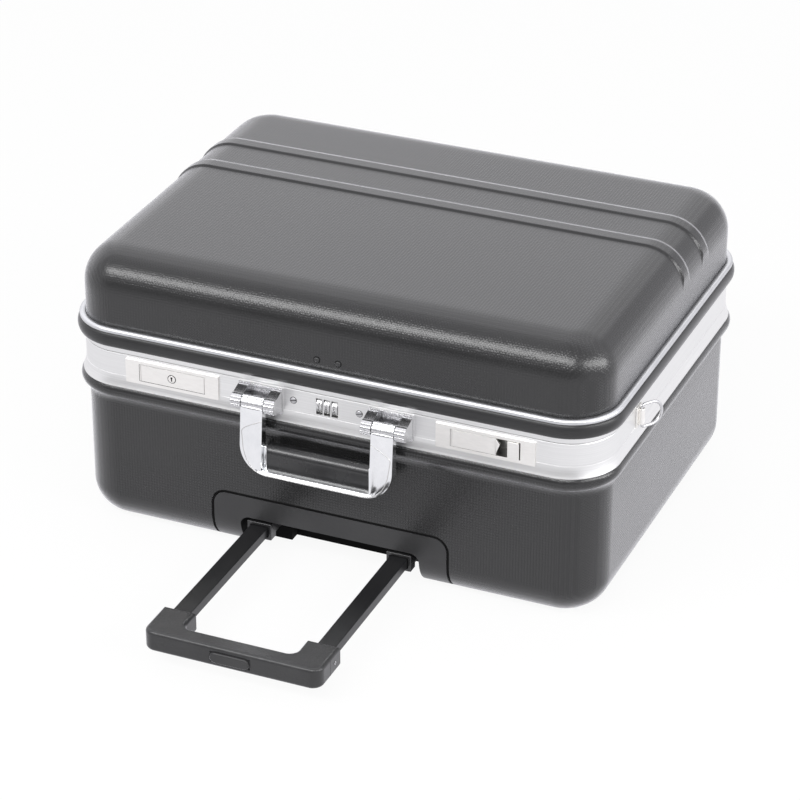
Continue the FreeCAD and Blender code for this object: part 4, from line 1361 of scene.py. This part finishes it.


# Pull handle: housing, rounded button, end seams and screws, a dark ring round the button, and a near-black
# cord round the housing, both painted shade of the gaps there

pull = {
    "front": -0.373,
    "level": 0.0255,
    "half": 0.079,
    "buttonHalf": 0.0175,
    "buttonTall": 0.0047,
    "buttonProud": 0.002,
    "buttonBody": 0.0075,
    "buttonEdge": 0.0011,
    "gapInner": 0.0002,
    "gapOuter": 0.0010,
    "gapProud": 0.0001,
    "gapDeep": 0.0006,
    "screw": (0.0017, 0.0005, 0.0003, 40.0),
    "screwY": -0.3425,
    "seamFront": -0.3518,
    "seamBack": -0.3513,
    "seamHalf": 0.0070,
    "seamDeep": 0.0004,
    "seamProud": 0.00004,
    "sealHalf": 0.10915,
    "sealLow": 0.0015,
    "sealTop": 0.05675,
    "sealCorner": 0.01325,
    "sealSteps": 14,
    "sealTurns": 10,
    "sealRadius": 0.00128,
    "sealDepth": 0.0015,
    "wallFront": -0.1792,
    "wallRound": 0.032,
    "housingEdge": 0.0007,
    "pocketHalf": 0.0832,
    "pocketTop": 0.0358,
    "pocketFront": -0.1772,
    "pocketBack": -0.1250,
}


def makeHousing():
    # the pocket's inner faces are near-black, painted shade of the deep pocket
    def inPocket(middle):
        inside = abs(middle.x) < pull["pocketHalf"] and middle.z < pull["pocketTop"]
        return inside and pull["pocketFront"] < middle.y < pull["pocketBack"]

    insetCopy("trolley_housing", pull["housingEdge"], "gap_black", inPocket)


def longRound(room=0.0):
    # outline of the button, or one with some room round it
    tall = pull["buttonTall"] + room
    straight = pull["buttonHalf"] - pull["buttonTall"]
    right = arcSpots(straight, pull["level"], tall, -90, 180, 12)
    return right + arcSpots(-straight, pull["level"], tall, 90, 180, 12)


def makePullButton():
    front = pull["front"] - pull["buttonProud"]
    piece = makePiece("pullButton", prismMesh(longRound(), front, front + pull["buttonBody"], "y"),
                      edge=pull["buttonEdge"], steps=3, even=True)
    standFor(piece, "trolley_button")
    # a dark ring round the button, painted shade of the gap that it stands in
    inner = longRound(pull["gapInner"])
    outer = longRound(pull["gapOuter"])
    near = pull["front"] - pull["gapProud"]
    far = pull["front"] + pull["gapDeep"]
    points = []
    for outline, y in ((outer, near), (inner, near), (inner, far), (outer, far)):
        points += [(x, y, z) for x, z in outline]
    shade = newPiece("pullButtonShade", points, gridFaces(4, len(inner), wrapRows=True))
    faceOutwards(shade.data)
    addTo(shade, "trolley_inner", "seal_rubber")


def makePullSeams():
    head, shade = screwShapes(*pull["screw"])
    level = pull["level"]
    for name, side in (("right", 1), ("left", -1)):
        spots = [(side * pull["half"], pull["screwY"], level)]
        setItems("pullScrew" + name.capitalize(), head, spots, name, "trolley_inner", "fitting_steel")
        setItems("pullScrewShade" + name.capitalize(), shade, spots, name, "trolley_inner", "seal_rubber")
        depths = (pull["half"] - pull["seamDeep"], pull["half"] + pull["seamProud"])
        start, end = sorted(side * depth for depth in depths)
        seam = boxMesh((start, pull["seamFront"], level - pull["seamHalf"]),
                       (end, pull["seamBack"], level + pull["seamHalf"]))
        addTo(newPiece("pullSeam" + name.capitalize(), *seam), "trolley_inner", "seal_rubber")


def sealSpot(x, z):
    # a spot on the wall, which is upright and rounded under towards the floor
    deep = pull["sealDepth"]
    bend = pull["wallRound"]
    if z >= bend:
        return (x, pull["wallFront"] + deep, z)
    turn = math.asin((bend - z) / bend)
    out = bend - deep
    return (x, pull["wallFront"] + bend - out * math.cos(turn), bend - out * math.sin(turn))


# a near-black cord laid in the gap round the housing, painted shade of that gap
def makeHousingSeal():
    half = pull["sealHalf"]
    low = pull["sealLow"]
    corner = pull["sealCorner"]
    high = pull["sealTop"] - corner
    steps = pull["sealSteps"]
    places = [(-half, low + (high - low) * step / steps) for step in range(steps)]
    places += arcSpots(corner - half, high, corner, 180, -90, pull["sealTurns"])
    places += [(-x, z) for x, z in reversed(places)]
    cordPiece("housingSeal", [sealSpot(x, z) for x, z in places], pull["sealRadius"], "base", "seal_rubber",
              "gap_black")


makeHousing()
makePullButton()
makePullSeams()
makeHousingSeal()
print("pull handle made")


# Wheels: tyres, tread blocks and hub spokes

wheel = {
    "place": (0.181, 0.170, 0.0265),
    "radius": 0.0254,
    "tyreSection": [(17.0, -12.0), (21.8, -12.0), (23.6, -11.3), (24.8, -9.9), (25.3, -8.2), (25.4, -7.0),
                    (25.4, -0.9), (24.6, -0.5), (24.6, 0.5), (25.4, 0.9), (25.4, 7.0), (25.3, 8.2),
                    (24.8, 9.9), (23.6, 11.3), (21.8, 12.0), (17.0, 12.0)],
    "tyreSteps": 72,
    "treadProud": 0.0005,
    "treadCount": 32,
    # each row of blocks: its start across the tyre and its lift round it
    "treadRows": ((-0.0075, -0.0013), (0.0012, 0.0013)),
    "treadWide": 0.0063,
    "treadDeep": 0.0012,
    "treadHalf": 0.0009,
    "spokeCount": 6,
    "spokeFace": 0.012,
    "spokeSunk": 0.0006,
    "spokeProud": 0.0009,
    "spokeEnds": (0.0148, 0.0062),
    "spokeHalf": 0.0013,
}


def makeWheels():
    x, y, z = wheel["place"]
    outside = y - wheel["radius"] - wheel["treadProud"]
    points, faces = latheMesh(inMetres(wheel["tyreSection"]), wheel["tyreSteps"])
    for name, side in (("left", -1), ("right", 1)):
        middle = side * x
        placed = [(middle + c, y + a, z + b) for a, b, c in points]
        tyre = makePiece("wheelTyre" + name.capitalize(), (placed, faces))
        standFor(tyre, "wheel_tyre_" + name)
        blocks = []
        for start, lift in wheel["treadRows"]:
            low = z + lift - wheel["treadHalf"]
            high = z + lift + wheel["treadHalf"]
            blocks.append(boxMesh((middle + start, outside, low),
                                  (middle + start + wheel["treadWide"], outside + wheel["treadDeep"], high)))
        spokes = []
        for face in (-1, 1):
            flat = middle + face * wheel["spokeFace"]
            start, end = sorted((flat - face * wheel["spokeSunk"], flat + face * wheel["spokeProud"]))
            far, near = wheel["spokeEnds"]
            spokes.append(boxMesh((start, y - far, z - wheel["spokeHalf"]),
                                  (end, y - near, z + wheel["spokeHalf"])))
        for label, shapes, count, slot in (("wheelTread", blocks, wheel["treadCount"], "tyre_rubber"),
                                           ("wheelSpokes", spokes, wheel["spokeCount"], "trolley_plastic")):
            turnItems(label + name.capitalize(), shapes, count, 0.0, 360.0 / count, (middle, y, z),
                      "wheel_" + name, slot)


makeWheels()
print("wheels made")


# Hinge screws on the back, two in each base leaf

hinge = {
    "places": (-0.151, 0.0, 0.151),
    "spread": 0.0165,
    "face": 0.1828,
    "level": 0.1585,
    "screw": (0.0026, 0.0008, 0.0004, 25.0),
}

hingeSpots = [(x + step, hinge["face"], hinge["level"]) for x in hinge["places"]
              for step in (-hinge["spread"], hinge["spread"])]
hingeHead, hingeShade = screwShapes(*hinge["screw"])
setItems("hingeScrews", hingeHead, hingeSpots, "back", "base", "fitting_steel")
setItems("hingeScrewShade", hingeShade, hingeSpots, "back", "base", "seal_rubber")
print("hinges made")


# Floor and studio light

studio = {
    "white": (1.0, 1.0, 1.0, 1.0),
    "coolWhite": (0.968, 0.962, 1.0, 1.0),
    "floorHalf": 9.0,
    "floorTone": (0.90, 0.90, 0.90, 1.0),
    "floorRough": 0.9,
    "floorWhite": 0.93,
    "floorNear": 0.96,
    "floorFar": 1.04,
    "floorRun": (-0.55, 0.55),
    "skyFill": 0.45,
    # the room as gloss shows it: shade low in front, and levels behind, high up and ahead
    "frontRun": (-0.55, -0.85),
    "lowRun": (0.42, 0.30),
    "frontShade": 0.28,
    "behindRun": (0.85, 0.35),
    "skyBehind": 0.80,
    "skyHigh": 1.50,
    "aheadRun": (0.20, -0.15),
    "skyAhead": 0.67,
}


def mixShaders(tree, share, first, second):
    return addNode(tree, "ShaderNodeMixShader", {0: share, 1: first, 2: second}).outputs["Shader"]


def makeFloor():
    half = studio["floorHalf"]
    floor = newPiece("studioFloor", [(-half, -half, 0), (half, -half, 0), (half, half, 0), (-half, half, 0)],
                     [(0, 1, 2, 3)])
    material, tree, shader, place = newFinish("studioFloor")
    setSockets(tree, shader, {"Base Color": studio["floorTone"], "Roughness": studio["floorRough"],
                              "Specular IOR Level": 0.0})
    # the floor is brighter away from the front left, where it is mirrored in the case's right side
    axes = addNode(tree, "ShaderNodeSeparateXYZ", {"Vector": place}).outputs
    across = mathOf(tree, "ADD", axes["X"], axes["Y"])
    mirrored = rangeOf(tree, across, *studio["floorRun"], studio["floorNear"], studio["floorFar"])
    path = addNode(tree, "ShaderNodeLightPath").outputs
    cool = addNode(tree, "ShaderNodeEmission", {"Color": studio["coolWhite"], "Strength": mirrored})
    white = addNode(tree, "ShaderNodeEmission", {"Color": studio["white"], "Strength": 1.0})
    glow = mixShaders(tree, path["Is Camera Ray"], cool.outputs["Emission"], white.outputs["Emission"])
    seen = mathOf(tree, "ADD", path["Is Camera Ray"], path["Is Glossy Ray"])
    share = mathOf(tree, "MULTIPLY", seen, studio["floorWhite"])
    mixed = mixShaders(tree, share, shader.outputs["BSDF"], glow)
    tree.links.new(mixed, tree.nodes["Material Output"].inputs["Surface"])
    floor.data.materials.append(material)


def makeSky():
    world = bpy.data.worlds.new("studioSky")
    bpy.context.scene.world = world
    world.use_nodes = True
    tree = world.node_tree
    tree.nodes.clear()
    place = addNode(tree, "ShaderNodeTexCoord").outputs["Generated"]
    axes = addNode(tree, "ShaderNodeSeparateXYZ", {"Vector": place}).outputs
    front = rangeOf(tree, axes["Y"], *studio["frontRun"])
    low = rangeOf(tree, axes["Z"], *studio["lowRun"])
    shade = rangeOf(tree, mathOf(tree, "MULTIPLY", front, low), 0.0, 1.0, 1.0, studio["frontShade"])
    behind = rangeOf(tree, axes["Y"], *studio["behindRun"], studio["skyBehind"], studio["skyHigh"])
    ahead = rangeOf(tree, axes["Y"], *studio["aheadRun"], 1.0, studio["skyAhead"])
    shade = mathOf(tree, "MULTIPLY", shade, mathOf(tree, "MULTIPLY", behind, ahead))
    path = addNode(tree, "ShaderNodeLightPath").outputs
    glossy = mathOf(tree, "ADD", path["Is Glossy Ray"], path["Is Transmission Ray"])
    levels = ((studio["white"], studio["skyFill"]), (studio["coolWhite"], shade), (studio["white"], 1.0))
    fill, room, white = [addNode(tree, "ShaderNodeBackground", {"Color": tone, "Strength": strength})
                         .outputs["Background"] for tone, strength in levels]
    unseen = mixShaders(tree, glossy, fill, room)
    shown = mixShaders(tree, path["Is Camera Ray"], unseen, white)
    addNode(tree, "ShaderNodeOutputWorld", {"Surface": shown})


softboxes = {
    "overheadBox": {"place": (-0.6, 2.6, 2.9), "target": (0.0, 0.4, 0.2), "size": (5.0, 6.0),
                    "radiance": 0.40, "roll": 0.0},
    "frontStrip": {"place": (-0.55, -1.75, 1.85), "target": (-0.45, -0.15, 0.25), "size": (3.3, 0.60),
                   "radiance": 8.0, "roll": 0.0},
    "sideStrip": {"place": (2.14, -0.33, 1.10), "target": (0.2, -0.16, 0.24), "size": (2.35, 0.60),
                  "radiance": 6.5, "roll": -24.0},
}


def addSoftbox(name, box):
    wide, tall = box["size"]
    data = bpy.data.lights.new(name, "AREA")
    data.shape = "RECTANGLE"
    data.size = wide
    data.size_y = tall
    data.energy = box["radiance"] * math.pi * wide * tall
    light = newObject(name, data)
    aim = Vector(box["target"]) - Vector(box["place"])
    light.rotation_euler = aim.to_track_quat("-Z", "Y").to_euler()
    light.rotation_euler.rotate_axis("Z", math.radians(box["roll"]))
    light.location = box["place"]


makeFloor()
makeSky()
for boxName, box in softboxes.items():
    addSoftbox(boxName, box)
bpy.context.scene.view_settings.view_transform = "Standard"
print("studio made")
